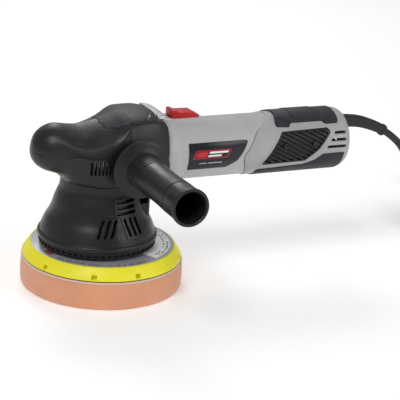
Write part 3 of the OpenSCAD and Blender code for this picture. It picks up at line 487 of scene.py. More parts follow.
def repeat_tree(name, inputs, lay_out):
    """Geometry tree that puts a template on points; lay_out gives the instancing node's inputs"""
    tree, given, result = new_tree(
        "GeometryNodeTree", name,
        [("Geometry", "NodeSocketGeometry", None), ("Template", "NodeSocketObject", None)] + inputs
        + [("Material", "NodeSocketMaterial", None)], [("Geometry", "NodeSocketGeometry")])
    n = Nodes(tree)
    template = n.node("GeometryNodeObjectInfo", {"Object": given["Template"]},
                      transform_space="ORIGINAL").outputs["Geometry"]
    copies = n.node("GeometryNodeInstanceOnPoints", {"Instance": template, **lay_out(n, given)})
    real = n.node("GeometryNodeRealizeInstances", {"Geometry": copies.outputs["Instances"]})
    painted = n.node("GeometryNodeSetMaterial", {"Geometry": real.outputs["Geometry"],
                                                 "Material": given["Material"]})
    n.put(result["Geometry"], painted.outputs["Geometry"])
    return tree


def ring_tree():
    """Puts a template round a circle about Z, each copy turned outwards"""
    def lay_out(n, given):
        circle = n.node("GeometryNodeMeshCircle", {"Vertices": given["Count"],
                                                   "Radius": given["Radius"]})
        place = n.node("GeometryNodeInputPosition").outputs["Position"]
        align = n.node("FunctionNodeAlignRotationToVector", {"Vector": place}, axis="X")
        return {"Points": circle.outputs["Mesh"], "Rotation": align.outputs["Rotation"]}

    return repeat_tree("pieces_in_a_ring", [("Count", "NodeSocketInt", 12),
                                            ("Radius", "NodeSocketFloat", 0.05)], lay_out)


def row_tree():
    """Puts a template at even steps along a line"""
    def lay_out(n, given):
        line = n.node("GeometryNodeMeshLine", {
            "Count": given["Count"], "Start Location": given["First"], "Offset": given["Step"]})
        return {"Points": line.outputs["Mesh"]}

    return repeat_tree("pieces_in_a_row", [("Count", "NodeSocketInt", 8),
                                           ("First", "NodeSocketVector", (0, 0, 0)),
                                           ("Step", "NodeSocketVector", (0.01, 0, 0))], lay_out)


def place_tree():
    """Puts a template on each point of the mesh, facing along the point's own direction"""
    def lay_out(n, given):
        facing = n.node("GeometryNodeInputNamedAttribute", {"Name": "facing"},
                        data_type="FLOAT_VECTOR").outputs["Attribute"]
        align = n.node("FunctionNodeAlignRotationToVector", {"Vector": facing}, axis="Z")
        chance = n.node("FunctionNodeRandomValue", {3: given["Turn"], "Seed": given["Seed"]},
                        data_type="FLOAT").outputs[1]
        spin = n.node("ShaderNodeCombineXYZ", {"Z": chance}).outputs["Vector"]
        turned = n.node("FunctionNodeRotateRotation", {
            "Rotation": align.outputs["Rotation"], "Rotate By": spin}, rotation_space="LOCAL")
        return {"Points": given["Geometry"], "Rotation": turned.outputs["Rotation"]}

    return repeat_tree("pieces_on_places", [("Turn", "NodeSocketFloat", 0.0),
                                            ("Seed", "NodeSocketInt", 3)], lay_out)


TREES = {}


def repeated(name, kind, template, finish, base=None, **values):
    """Piece made by one of the trees from a template shape; inputs are given by name"""
    if kind not in TREES:
        TREES[kind] = {"ring": ring_tree, "row": row_tree, "place": place_tree}[kind]()
    tree = TREES[kind]
    model = solid(name + "_template", template)
    model.data.shade_smooth()
    model.data.set_sharp_from_angle(angle=math.radians(35))
    piece = base or placed(name, bpy.data.meshes.new(name))
    step = piece.modifiers.new("repeat", "NODES")
    step.node_group = tree
    keys = {item.name: item.identifier for item in tree.interface.items_tree
            if item.in_out == "INPUT"}
    values.update(Template=model, Material=finish_of(finish))
    for label, value in values.items():
        step[keys[label]] = value
    settle(piece)
    discard(model)
    return piece


def places(name, points, facings):
    """Mesh of loose points in metres, each with its facing direction"""
    mesh = bpy.data.meshes.new(name)
    mesh.from_pydata([tuple(Vector(p) * MM) for p in points], [], [])
    facing = mesh.attributes.new("facing", "FLOAT_VECTOR", "POINT")
    facing.data.foreach_set("vector", [v for f in facings for v in f])
    return placed(name, mesh)


def merged(name, *objects):
    """One object from several, all at the origin"""
    bm = bmesh.new()
    for o in objects:
        bm.from_mesh(o.data)
    mesh = bpy.data.meshes.new(name)
    bm.to_mesh(mesh)
    bm.free()
    for o in objects:
        discard(o)
    return placed(name, mesh)


def shifted(piece, matrix):
    """Moves a piece's own vertices, so its object stays at the origin"""
    move = matrix.copy()
    move.translation = matrix.translation * MM
    piece.data.transform(move)
    return piece


def turn_about(axis, degrees):
    """Turn about a main axis"""
    return Matrix.Rotation(math.radians(degrees), 4, axis)


# ---- finishes ----

def moulded_grain():
    """Fine eroded texture of a mould: height"""
    tree, start, end = new_tree(
        "ShaderNodeTree", "moulded_grain",
        [("Vector", "NodeSocketVector", None), ("Scale", "NodeSocketFloat", 1600)],
        [("Height", "NodeSocketFloat")])
    n = Nodes(tree)
    fine = n.noise(start["Vector"], start["Scale"], 3.0, 0.6)
    cells = n.node("ShaderNodeTexVoronoi", {
        "Vector": start["Vector"],
        "Scale": n.math("MULTIPLY", start["Scale"], 0.7)}).outputs["Distance"]
    n.put(end["Height"], n.math("ADD", n.math("MULTIPLY", fine, 0.6),
                                       n.math("MULTIPLY", cells, 0.4)))
    return tree


def tone_drift():
    """Slow drift between two colours, and the drift itself"""
    tree, start, end = new_tree(
        "ShaderNodeTree", "tone_drift",
        [("Vector", "NodeSocketVector", None), ("Scale", "NodeSocketFloat", 30),
         ("Colour", "NodeSocketColor", None), ("Second colour", "NodeSocketColor", None)],
        [("Colour", "NodeSocketColor"), ("Drift", "NodeSocketFloat")])
    n = Nodes(tree)
    slow = n.noise(start["Vector"], start["Scale"], 3.0, 0.55)
    drift = n.remap(slow, 0.32, 0.68)
    n.put(end["Colour"], n.mix(drift, start["Colour"], start["Second colour"]))
    n.put(end["Drift"], drift)
    return tree


def handling_wear():
    """Where hands and work have rubbed a surface: mask"""
    tree, start, end = new_tree(
        "ShaderNodeTree", "handling_wear",
        [("Vector", "NodeSocketVector", None), ("Scale", "NodeSocketFloat", 60),
         ("Amount", "NodeSocketFloat", 0.3)], [("Mask", "NodeSocketFloat")])
    n = Nodes(tree)
    broad = n.remap(n.noise(start["Vector"], start["Scale"], 2.0), 0.45, 0.75)
    streak = n.node("ShaderNodeMapping", {"Vector": start["Vector"], "Scale": (1.0, 6.0, 2.0)})
    fine = n.remap(n.noise(streak.outputs["Vector"],
                           n.math("MULTIPLY", start["Scale"], 9.0), 4.0, 0.7), 0.5, 0.8)
    mask = n.math("MULTIPLY", broad, n.math("ADD", 0.35, fine))
    n.put(end["Mask"], n.math("MULTIPLY", mask, start["Amount"], clamp=True))
    return tree


def settled_dust():
    """Polishing dust on faces that look up: mask"""
    tree, start, end = new_tree(
        "ShaderNodeTree", "settled_dust",
        [("Vector", "NodeSocketVector", None), ("Amount", "NodeSocketFloat", 0.1)],
        [("Mask", "NodeSocketFloat")])
    n = Nodes(tree)
    normal = n.node("ShaderNodeNewGeometry").outputs["Normal"]
    up = n.remap(n.node("ShaderNodeSeparateXYZ", {"Vector": normal}).outputs["Z"], 0.2, 1.0)
    patchy = n.remap(n.noise(start["Vector"], 90.0, 5.0, 0.65), 0.4, 0.75)
    n.put(end["Mask"], n.math("MULTIPLY", n.math("MULTIPLY", up, patchy),
                                     start["Amount"]))
    return tree


GROUPS = {}


def shared(make):
    """Shared group, built once"""
    if make.__name__ not in GROUPS:
        GROUPS[make.__name__] = make()
    return GROUPS[make.__name__]


class Finish(Nodes):
    """Material of one finish, with its coordinates, surface shader and output"""

    def __init__(self, name, rough=0.5, **shader):
        self.material = bpy.data.materials.new(name)
        self.material.use_nodes = True
        super().__init__(self.material.node_tree)
        self.tree.nodes.clear()
        self.at = self.node("ShaderNodeTexCoord").outputs["Object"]
        self.surface = self.node("ShaderNodeBsdfPrincipled")
        out = self.node("ShaderNodeOutputMaterial")
        self.tree.links.new(self.surface.outputs[0], out.inputs["Surface"])
        for label, value in shader.items():
            self.surface.inputs[label].default_value = value
        self.surface.inputs["Roughness"].default_value = rough

    def set(self, label, value):
        self.put(self.surface.inputs[label], value)

    def bump(self, height, depth, strength=1.0):
        """Bump of a height from 0 to 1, depth in millimetres"""
        self.set("Normal", self.node("ShaderNodeBump", {
            "Strength": strength, "Distance": depth * MM, "Height": height}).outputs["Normal"])

    def parts(self, vector=None):
        """X, Y and Z of a point in metres"""
        split = self.node("ShaderNodeSeparateXYZ", {"Vector": vector or self.at})
        return [split.outputs[k] for k in "XYZ"]


def rgba(colour):
    return (*colour[:3], 1.0)


def shade_of(colour, by):
    """A lighter or darker shade of a colour"""
    return tuple(min(1.0, c * by) for c in colour[:3])


# Plain finishes: colour, share of the second shade, lowest and highest roughness, metallic,
# grain per metre, grain depth in millimetres, wear, dust, clear coat
PLAIN = {
    "steel": ((0.55, 0.55, 0.56), 0.8, 0.22, 0.38, 1, 900, 0.004, 0.2, 0, 0),
    "black_steel": ((0.045, 0.045, 0.05), 1.5, 0.3, 0.5, 1, 1400, 0.006, 0.4, 0.05, 0),
    "cast_steel": ((0.22, 0.22, 0.23), 0.7, 0.4, 0.6, 1, 900, 0.03, 0.2, 0.1, 0),
    "bearing_steel": ((0.62, 0.62, 0.64), 0.85, 0.12, 0.25, 1, 700, 0.002, 0.15, 0, 0),
    "gear_steel": ((0.42, 0.42, 0.44), 0.75, 0.25, 0.42, 1, 1100, 0.004, 0.3, 0, 0),
    "cast_aluminium": ((0.60, 0.61, 0.62), 0.86, 0.36, 0.55, 1, 1300, 0.02, 0.2, 0.06, 0),
    "lamination": ((0.30, 0.31, 0.33), 0.7, 0.35, 0.5, 1, 2600, 0.01, 0.2, 0, 0),
    "copper_wire": ((0.55, 0.19, 0.07), 0.6, 0.25, 0.4, 1, 2200, 0.05, 0.1, 0, 0.3),
    "copper": ((0.72, 0.32, 0.16), 0.8, 0.2, 0.35, 1, 900, 0.004, 0.3, 0, 0),
    "brass": ((0.70, 0.50, 0.18), 0.85, 0.22, 0.35, 1, 900, 0.003, 0.2, 0, 0),
    "carbon": ((0.02, 0.02, 0.021), 1.8, 0.5, 0.7, 0, 2600, 0.02, 0.2, 0, 0),
    "fan_plastic": ((0.016, 0.016, 0.017), 1.5, 0.35, 0.5, 0, 1800, 0.006, 0.2, 0.1, 0),
    "natural_plastic": ((0.62, 0.60, 0.52), 0.9, 0.35, 0.5, 0, 1500, 0.006, 0.1, 0.05, 0),
    "circuit_board": ((0.02, 0.16, 0.06), 0.7, 0.3, 0.45, 0, 1200, 0.01, 0.1, 0.05, 0.3),
    "capacitor_film": ((0.62, 0.42, 0.06), 0.8, 0.3, 0.4, 0, 900, 0.006, 0.1, 0.05, 0.1),
    "black_rubber": ((0.012, 0.012, 0.012), 1.7, 0.55, 0.7, 0, 1700, 0.012, 0.2, 0.08, 0),
    "cord_rubber": ((0.0125, 0.0125, 0.013), 1.6, 0.42, 0.56, 0, 1900, 0.012, 0.25, 0.05, 0),
    "tie_plastic": ((0.011, 0.011, 0.012), 1.4, 0.3, 0.45, 0, 1500, 0.006, 0.2, 0.05, 0),
    # Darker copy of the black plastic: partly the grilles' own black, partly painted shade for the
    # recessed grilles and the vent ring under the shroud
    "grille_plastic": ((0.0042, 0.0042, 0.0045), 1.6, 0.42, 0.56, 0, 1800, 0.01, 0.2, 0.01, 0),
    "hook_fabric": ((0.035, 0.036, 0.038), 0.6, 0.7, 0.85, 0, 3200, 0.15, 0.1, 0.05, 0),
}


def plain_finish(name, colour, second, low, high, metallic, grain, depth, wear, dust, coat):
    """Moulded or machined finish from one row of the table"""
    f = Finish(name, Metallic=metallic)
    if not metallic:
        f.surface.inputs["Specular IOR Level"].default_value = 0.34
    if coat:
        f.surface.inputs["Coat Weight"].default_value = coat
    tone = f.group(shared(tone_drift), Vector=f.at, Scale=38.0, Colour=rgba(colour),
                   **{"Second colour": rgba(shade_of(colour, second))})
    worn = f.group(shared(handling_wear), Vector=f.at, Amount=wear)["Mask"]
    rubbed = f.mix(worn, tone["Colour"], rgba(shade_of(colour, 1.5 if second > 1 else 1.12)))
    dusty = f.group(shared(settled_dust), Vector=f.at, Amount=dust)["Mask"]
    f.set("Base Color", f.mix(dusty, rubbed, (0.42, 0.41, 0.39, 1)))
    rough = f.remap(tone["Drift"], 0, 1, low, high)
    f.set("Roughness", f.math("SUBTRACT", rough, f.math("MULTIPLY", worn, 0.12), clamp=True))
    f.bump(f.group(shared(moulded_grain), Vector=f.at, Scale=float(grain))["Height"], depth)
    return f


def user_finish(name):
    """Finishes whose colour a user may set in the panel"""
    colours = bpy.context.scene.polisher_colours
    cover = tuple(colours.cover)
    return {
        "black_plastic": (cover, 1.5, 0.30, 0.44, 0, 1500, 0.014, 0.35, 0.035, 0),
        "handle_plastic": (cover, 1.45, 0.33, 0.46, 0, 1300, 0.018, 0.35, 0.03, 0),
        "soft_grip": (tuple(colours.patch), 1.25, 0.5, 0.62, 0, 2300, 0.03, 0.25, 0.05, 0),
        "grey_plastic": (tuple(colours.housing), 0.93, 0.36, 0.48, 0, 1300, 0.010, 0.12, 0.02, 0),
        "dark_grey_plastic": (tuple(colours.rear), 0.93, 0.36, 0.48, 0, 1300, 0.010, 0.12, 0.02, 0),
        "red_plastic": (tuple(colours.switch), 0.8, 0.32, 0.44, 0, 1100, 0.006, 0.1, 0.0, 0),
        "yellow_urethane": (tuple(colours.plate), 0.95, 0.34, 0.46, 0, 900, 0.012, 0.08, 0.03, 0),
    }.get(name)


def foam_finish():
    """Open-cell polishing foam: pores of several sizes, paler where the skin is cut"""
    base = tuple(bpy.context.scene.polisher_colours.foam)
    f = Finish("foam", rough=0.9, **{"Sheen Weight": 0.25, "Sheen Roughness": 0.6,
                                     "Subsurface Weight": 0.08, "Subsurface Scale": 0.002})
    tone = f.group(shared(tone_drift), Vector=f.at, Scale=26.0, Colour=rgba(base),
                   **{"Second colour": rgba(shade_of(base, 0.9))})
    pores = f.node("ShaderNodeTexVoronoi", {"Vector": f.at, "Scale": 1050.0}).outputs["Distance"]
    small = f.node("ShaderNodeTexVoronoi", {"Vector": f.at, "Scale": 2300.0}).outputs["Distance"]
    height = f.math("ADD", f.math("MULTIPLY", pores, 0.7), f.math("MULTIPLY", small, 0.3))
    # Pores are painted darker where their surface is low: painted shade in the pores
    painted_pore_shade = f.remap(height, 0.12, 0.42, 0.42, 0.0)
    coloured = f.mix(painted_pore_shade, tone["Colour"], rgba(shade_of(base, 0.62)))
    speck = f.remap(f.noise(f.at, 520.0, 3.0, 0.7), 0.56, 0.72, 0.0, 0.28)
    f.set("Base Color", f.mix(speck, coloured, rgba(shade_of(base, 1.22))))
    f.bump(height, 0.32, 0.8)
    return f


def fleece_finish():
    """Pale looped backing of the pad"""
    f = Finish("loop_fleece", rough=0.92, **{"Sheen Weight": 0.5, "Sheen Roughness": 0.5})
    stretched = f.node("ShaderNodeMapping", {"Vector": f.at, "Scale": (1.0, 1.0, 2.4)})
    loops = f.noise(stretched.outputs["Vector"], 2600.0, 4.0, 0.75)
    f.set("Base Color", f.mix(f.remap(loops, 0.35, 0.65), (0.62, 0.40, 0.34, 1),
                              (0.86, 0.68, 0.62, 1)))
    f.bump(loops, 0.4, 0.9)
    return f


def polar(f, x, y):
    """Angle in turns and distance in millimetres, round the pad's axis"""
    dx = f.math("SUBTRACT", f.math("DIVIDE", x, MM), PAD_X)
    dy = f.math("DIVIDE", y, MM)
    angle = f.math("DIVIDE", f.math("ARCTAN2", dy, dx), 2 * math.pi)
    squares = f.math("ADD", f.math("MULTIPLY", dx, dx), f.math("MULTIPLY", dy, dy))
    return angle, f.math("SQRT", squares)


def disc_finish():
    """Silver printed disc with a white sector and rows of plain ticks"""
    f = Finish("printed_disc", **{"Coat Weight": 0.25, "Coat Roughness": 0.2})
    x, y, _ = f.parts()
    angle, reach = polar(f, x, y)
    silver = f.group(shared(tone_drift), Vector=f.at, Scale=45.0, Colour=(0.40, 0.41, 0.44, 1),
                     **{"Second colour": (0.33, 0.34, 0.38, 1)})
    white = f.inside(angle, -0.168, 0.115)
    band = f.math("MULTIPLY", white, f.math("LESS_THAN", reach, 67.2))
    ground = f.mix(band, silver["Colour"], (0.80, 0.80, 0.81, 1))

    def ticks(row, half, count, first, last, seed):
        """Broken ring of short strokes"""
        across = f.math("LESS_THAN", f.math("ABSOLUTE", f.math("SUBTRACT", reach, row)), half)
        turns = f.math("MULTIPLY", angle, count)
        stroke = f.math("LESS_THAN", f.math("FRACT", turns), 0.62)
        chance = f.node("ShaderNodeTexWhiteNoise",
                        {"W": f.math("ADD", f.math("FLOOR", turns), seed)},
                        noise_dimensions="1D").outputs["Value"]
        shown = f.math("GREATER_THAN", chance, 0.22)
        return f.math("MULTIPLY", f.math("MULTIPLY", across, f.inside(angle, first, last)),
                      f.math("MULTIPLY", stroke, shown))

    rows = f.math("MAXIMUM", ticks(64.6, 1.1, 130.0, -0.15, 0.09, 3.0),
                  ticks(60.9, 0.9, 120.0, -0.15, 0.06, 11.0))
    rows = f.math("MAXIMUM", rows, ticks(66.8, 1.05, 150.0, -0.42, -0.2, 23.0))
    inked = f.mix(rows, ground, (0.03, 0.03, 0.035, 1))
    red = f.math("MULTIPLY", f.inside(angle, -0.475, -0.445), f.inside(reach, 60.0, 67.0))
    f.set("Base Color", f.mix(f.math("MULTIPLY", red, 0.85), inked, (0.42, 0.03, 0.03, 1)))
    bare = f.math("SUBTRACT", 1.0, f.math("MAXIMUM", band, rows))
    f.set("Metallic", f.math("MULTIPLY", bare, 0.35))
    f.set("Roughness", f.remap(silver["Drift"], 0, 1, 0.3, 0.42))
    f.bump(f.noise(f.at, 300.0), 0.01)
    return f


def film_finish():
    """Dark plate with a plain red bar and thin pale lines, the same on both sides"""
    f = Finish("plate_film", **{"Coat Weight": 0.15, "Coat Roughness": 0.2,
                                "Specular IOR Level": 0.3})
    x, _, z = f.parts()
    # Every mark is slanted like the plate's rear edge
    along = f.math("DIVIDE", x, MM)
    height = f.math("SUBTRACT", f.math("DIVIDE", z, MM), AXIS_Z)
    slant = f.math("SUBTRACT", along, f.math("MULTIPLY", height, 0.45))
    tone = f.group(shared(tone_drift), Vector=f.at, Scale=60.0, Colour=(0.006, 0.0065, 0.012, 1),
                   **{"Second colour": (0.010, 0.0105, 0.018, 1)})

    def bar(low, high, first, last):
        return f.math("MULTIPLY", f.inside(height, low, high), f.inside(slant, first, last))

    red = f.math("SUBTRACT", bar(-2.6, 5.8, 86.0, 124.0), bar(-1.8, 5.0, 86.9, 123.1), clamp=True)
    red = f.math("MAXIMUM", red, bar(-1.0, 4.2, 88.0, 100.0))
    pale = f.math("MAXIMUM", bar(2.2, 4.2, 101.6, 122.0), bar(-1.0, 0.8, 101.6, 116.0))
    fine = f.math("MAXIMUM", bar(-8.0, -7.1, 96.0, 104.0), bar(-8.0, -7.1, 105.5, 121.0))
    marked = f.mix(red, tone["Colour"], (0.50, 0.012, 0.02, 1))
    marked = f.mix(pale, marked, (0.80, 0.80, 0.80, 1))
    f.set("Base Color", f.mix(fine, marked, (0.45, 0.45, 0.46, 1)))
    f.set("Roughness", f.remap(tone["Drift"], 0, 1, 0.2, 0.3))
    f.bump(f.noise(f.at, 500.0), 0.008)
    return f


SPECIAL = {"foam": foam_finish, "loop_fleece": fleece_finish, "printed_disc": disc_finish,
           "plate_film": film_finish}
FINISHES = {}


def finish_of(name):
    """Material of a finish, made once"""
    if name not in FINISHES:
        if name in SPECIAL:
            FINISHES[name] = SPECIAL[name]().material
        else:
            row = user_finish(name) or PLAIN[name]
            FINISHES[name] = plain_finish(name, *row).material
    return FINISHES[name]


# CAD nodes that stay, and the finish of each
CARRIED = {
    "steel": ["pad_spindle", "output_spindle", "armature_shaft", "handle_stud", "brush_springs",
              "plug_pins"],
    "black_steel": ["pad_screw", "case_screws", "shroud_screws", "plate_hub"],
    "cast_steel": ["eccentric_weight"],
    "bearing_steel": ["pad_bearing", "lower_bearing", "upper_bearing", "front_bearing",
                      "rear_bearing"],
    "gear_steel": ["bevel_gear", "bevel_pinion"],
    "cast_aluminium": ["gear_case"],
    "lamination": ["armature_core", "stator_core"],
    "copper_wire": ["armature_windings", "stator_windings"],
    "copper": ["commutator"],
    "brass": ["brush_holders"],
    "carbon": ["carbon_brushes"],
    "fan_plastic": ["cooling_fan", "brush_frame", "switch_unit"],
    "natural_plastic": ["switch_link"],
    "circuit_board": ["control_board"],
    "capacitor_film": ["capacitor"],
    "cord_rubber": ["cord_clamp"],
}


# ---- camera, lights and floor ----

CAMERA_AT = Vector((-550.85, -1346.53, 592.70))
CAMERA_TO = Vector((101.111, -19.438, 82.127))
CAMERA_ROLL = math.radians(3.833)
CAMERA_LENS = 141.147
FLOOR_REACH = 6000
# Just under the pad, so that the two faces don't meet
FLOOR_TOP = -0.05


def make_camera():
    """Camera, with its roll"""
    ahead = (CAMERA_TO - CAMERA_AT).normalized()
    level = ahead.cross(Vector((0, 0, 1))).normalized()
    upright = level.cross(ahead)
    right = level * math.cos(CAMERA_ROLL) + upright * math.sin(CAMERA_ROLL)
    up = upright * math.cos(CAMERA_ROLL) - level * math.sin(CAMERA_ROLL)
    data = bpy.data.cameras.new("camera")
    data.lens, data.sensor_width, data.clip_end = CAMERA_LENS, 36, 20
    camera = placed("camera", data)
    turn = Matrix((right, up, -ahead)).transposed().to_4x4()
    camera.matrix_world = Matrix.Translation(CAMERA_AT * MM) @ turn
    bpy.context.scene.camera = camera


def area_light(name, place, target, size, power):
    """Round light aimed at a target, in metres and watts"""
    data = bpy.data.lights.new(name, "AREA")
    data.shape, data.size, data.energy = "DISK", size, power
    light = placed(name, data)
    aim = (Vector(target) - Vector(place)).to_track_quat("-Z", "Y")
    light.matrix_world = Matrix.Translation(place) @ aim.to_matrix().to_4x4()


def make_stage(colours):
    """World, floor and three lights"""
    scene = bpy.context.scene
    scene.view_settings.view_transform = "Standard"
    world = bpy.data.worlds.new("studio")
    world.use_nodes = True
    sky = world.node_tree.nodes["Background"]
    sky.inputs["Color"].default_value = (1, 1, 1, 1)
    sky.inputs["Strength"].default_value = 0.38
    scene.world = world
    floor = solid("floor", block((-FLOOR_REACH, -FLOOR_REACH, -12),
                                 (FLOOR_REACH, FLOOR_REACH, FLOOR_TOP)))
    f = Finish("floor", rough=0.85)
    tone = f.group(shared(tone_drift), Vector=f.at, Scale=1.2, Colour=rgba(colours.floor),
                   **{"Second colour": rgba(shade_of(colours.floor, 0.985))})
    f.set("Base Color", tone["Colour"])
    f.set("Emission Color", (1, 1, 1, 1))
    f.set("Emission Strength", 0.2)
    floor.data.materials.append(f.material)
    area_light("key", (-0.9, -0.9, 1.7), (0.05, 0, 0.1), 0.9, 17)
    area_light("fill", (1.3, -1.5, 0.9), (0.1, 0, 0.1), 1.2, 10)
    area_light("rim", (0.4, 1.6, 1.5), (0.1, 0, 0.1), 1.0, 14)


# ---- cord ----

GLAND_POINTS = [(265, 0, 148), (274, 0, 148), (283, 0, 147.2), (292, 0, 145.4), (302, 0, 142.2),
                (312, 0, 138.2), (321, 0, 133.6)]
CORD_POINTS = [(331, 0, 127), (342, 0, 117.5), (351, 0, 105), (358, 0, 90), (364, 0, 73),
               (370, 0, 56), (377, 0, 39.5), (387, 0, 24.5), (401, 0, 12), (414, -0.6, 6.4),
               (428, -2, 5)]
TAIL_POINTS = [(502, 78, 7), (503, 90, 8), (504, 102, 11), (504.5, 113, 14), (504.5, 122, 16)]
PLUG_TURN = 90
COIL_R = 47
TURNS = 8.31
BUNDLE_R = 9.93
COIL_STEPS = 150


def coil_point(turn):
    """Point on the coil after some turns: the first turn is the core, the others twist round it"""
    around = math.radians(-90) + 2 * math.pi * turn
    slot = math.radians(45) * (turn - 1)
    out = min(1, max(0, (turn - 0.74) / 0.26))
    reach = BUNDLE_R * out * out * (3 - 2 * out)
    if turn < 0.16:
        enter = 1 - turn / 0.16
        reach, slot = BUNDLE_R * enter * enter * (3 - 2 * enter), math.radians(-66)
    across, height = reach * math.cos(slot), reach * math.sin(slot)
    return (COIL.x + (COIL_R + across) * math.cos(around),
            COIL.y + (COIL_R + across) * math.sin(around), COIL.z + height)


def smooth4(a, b, c, d, t):
    """A smooth curve through four numbers at share t of the middle span"""
    return 0.5 * (2 * b + (c - a) * t + (2 * a - 5 * b + 4 * c - d) * t * t
                  + (3 * b - a - 3 * c + d) * t ** 3)


def smooth_line(keys, steps):
    """Rows of numbers with smooth steps put in between"""
    out = []
    for i in range(len(keys) - 1):
        four = [keys[max(i - 1, 0)], keys[i], keys[i + 1], keys[min(i + 2, len(keys) - 1)]]
        out += [tuple(smooth4(*column, s / steps) for column in zip(*four)) for s in range(steps)]
    return out + [tuple(keys[-1])]


def make_cord(sizes):
    turns = [coil_point(TURNS * i / COIL_STEPS) for i in range(COIL_STEPS + 1)]
    path = smooth_line(GLAND_POINTS + CORD_POINTS, 3) + turns[1:]
    path += smooth_line([turns[-1]] + TAIL_POINTS, 3)[1:]
    radius = sizes.cord_diameter / 2 / MM
    line = settled_piece(solid("mains_cord", tube(path, [radius] * len(path), 14)),
                         "cord_rubber", "machine", "cord", "cord_coil")
    length = sum((Vector(a) - Vector(b)).length for a, b in zip(path, path[1:]))

    boot_path = smooth_line(GLAND_POINTS, 10)
    n = len(boot_path) - 1
    radii = [7.2 - 2.0 * i / n + (0.9 if n - 6 < i < n - 1 else 0) for i in range(n + 1)]
    boot = soften(solid("cord_boot", tube(boot_path, radii, 40)), 0.0003, 2)
    settled_piece(boot, "black_rubber", "machine", "strain_relief")

    strap = solid("cord_strap", along_x(lathe(
        [(14.1, -4.5), (14.9, -4.5), (14.95, 0), (14.9, 4.5), (14.1, 4.5)], 72), 0, 0, 0))
    buckle = rounded([(-5.5, -4), (5.5, -4), (5.5, 4), (-5.5, 4)], 1.2)
    strap = add(strap, prism(buckle, 13.4, 15.6))
    shifted(strap, Matrix.Translation((COIL.x, COIL.y + COIL_R, COIL.z)))
    settled_piece(strap, "tie_plastic", "machine", "cord_tie")

    body = lathe([(0, 0), (5.2, 0), (5.6, 1.5), (7.4, 8), (9, 12.5), (11.4, 13.4), (14.2, 16),
                  (15.6, 21), (16, 27), (16, 44.2), (15.4, 45.6), (14, 46), (0, 46)], 96)
    plug = solid("mains_plug", body)
    grips = []
    for side in (-1, 1):
        for i in range(5):
            z = 20 + i * 4.2
            grips.append(block((side * 15.2 - 1.6, -8, z), (side * 15.2 + 1.6, 8, z + 1.6)))
        grips.append(moved(prism(rounded([(-3, -3), (3, -3), (3, 3), (-3, 3)], 1), 30, 47),
                           Matrix.Translation((side * 16.2, 0, 0))))
    plug = soften(cut(plug, *grips), 0.0004, 2)
    way = Matrix.Translation(TAIL_POINTS[-1]) @ turn_about("Z", PLUG_TURN) @ \
        turn_about("Y", 90)
    settled_piece(shifted(plug, way), "black_plastic", "machine", "plug")

    [[c * MM for c in p] for p in path]


# ---- pad ----

def about_pad(shape):
    return moved(shape, Matrix.Translation((PAD_X, 0, 0)))


def make_foam(sizes):
    side = [(PAD_R - 3 + 3 * math.cos(a), 3 + 3 * math.sin(a))
            for a in (math.radians(d) for d in range(-90, 1, 15))]
    wall = [(PAD_R + 0.55 * math.sin(math.pi * s / 12) - 0.25 * s / 12,
             3 + (FOAM_TOP - 3.6) * s / 12) for s in range(1, 13)]
    rings = [(r, 0) for r in range(4, int(PAD_R) - 4, 6)]
    top = [(PAD_R - 0.8, FOAM_TOP)] + [(r, FOAM_TOP) for r in range(int(PAD_R) - 6, 3, -12)]
    outline = [(0, 0)] + rings + side + wall + top + [(0, FOAM_TOP)]
    piece = solid("foam_disc", about_pad(lathe(outline, 260)))
    for v in piece.data.vertices:
        p = v.co / MM
        away = Vector((p.x - PAD_X, p.y, 0))
        if away.length > PAD_R - 4 and p.z > 0.5:
            uneven = noise.noise(p * 0.05) * 0.35 + noise.noise(p * 0.45) * 0.12
            v.co += away.normalized() * uneven * MM
    settled_piece(piece, "foam", "pad", "foam_pad", angle=60)


def make_pad_layers(sizes):
    r = PAD_R - 0.2
    fleece = solid("loop_backing", about_pad(lathe(
        [(0, FOAM_TOP), (r, FOAM_TOP), (r + 0.25, FOAM_TOP + 0.5), (r, LOOP_TOP - 0.3),
         (r - 0.5, LOOP_TOP), (0, LOOP_TOP)], 300)))
    hooks = solid("hook_backing", about_pad(lathe(
        [(0, LOOP_TOP), (PLATE_R - 1, LOOP_TOP), (PLATE_R - 0.8, LOOP_TOP + 0.5),
         (PLATE_R - 1, PLATE_Z), (0, PLATE_Z)], 300)))
    for piece, amount in ((fleece, 0.16), (hooks, 0.12)):
        for v in piece.data.vertices:
            away = Vector((v.co.x / MM - PAD_X, v.co.y / MM, 0))
            if away.length > PLATE_R - 3:
                v.co += away.normalized() * noise.noise(v.co / MM * 1.1) * amount * MM
    settled_piece(fleece, "loop_fleece", "pad", "loop_layer", angle=60)
    settled_piece(hooks, "hook_fabric", "pad", "hook_layer", angle=60)


DISC_HOLE_R = 27.4
NOTCH_ANGLES = [-156, -117, -85, -32, 5, 41, 78, 115, 160]


def make_backing_plate(sizes):
    face = DISC_R + 0.3
    h = PLATE_TOP - PLATE_Z
    plate = solid("backing_plate_disc", lathe(
        [(0, 4.6), (7.9, 4.6), (7.9, 0), (PLATE_R - 0.4, 0), (PLATE_R, 0.4), (PLATE_R, 2.0),
         (PLATE_R - 0.25, 2.5), (face + 1.6, h - 0.9), (face + 0.9, h - 0.3), (face + 0.1, h),
         (27.1, h), (27.1, h - 1.6), (0, h - 1.6)], 240))
    notch = rounded([(PLATE_R - 6, -2.6), (PLATE_R + 3, -2.6), (PLATE_R + 3, 2.6),
                     (PLATE_R - 6, 2.6)], [0.8, 0, 0, 0.8], 3)
    notches = joined(*[moved(prism(notch, 1.0, 5.6), turn_about("Z", a))
                       for a in NOTCH_ANGLES])
    plate = soften(cut(plate, notches), 0.0003, 2, 40)
    shifted(plate, Matrix.Translation((PAD_X, 0, PLATE_Z)))
    settled_piece(plate, "yellow_urethane", "pad", "backing_plate")


# ---- shroud ----

# Outline: share of the height, share of the way from the neck's radius to the rim's
FLARE = [(0.18, 0.885), (0.26, 0.80), (0.35, 0.67), (0.44, 0.5), (0.54, 0.37), (0.63, 0.28),
         (0.73, 0.16), (0.82, 0.04), (0.91, 0), (1, 0)]
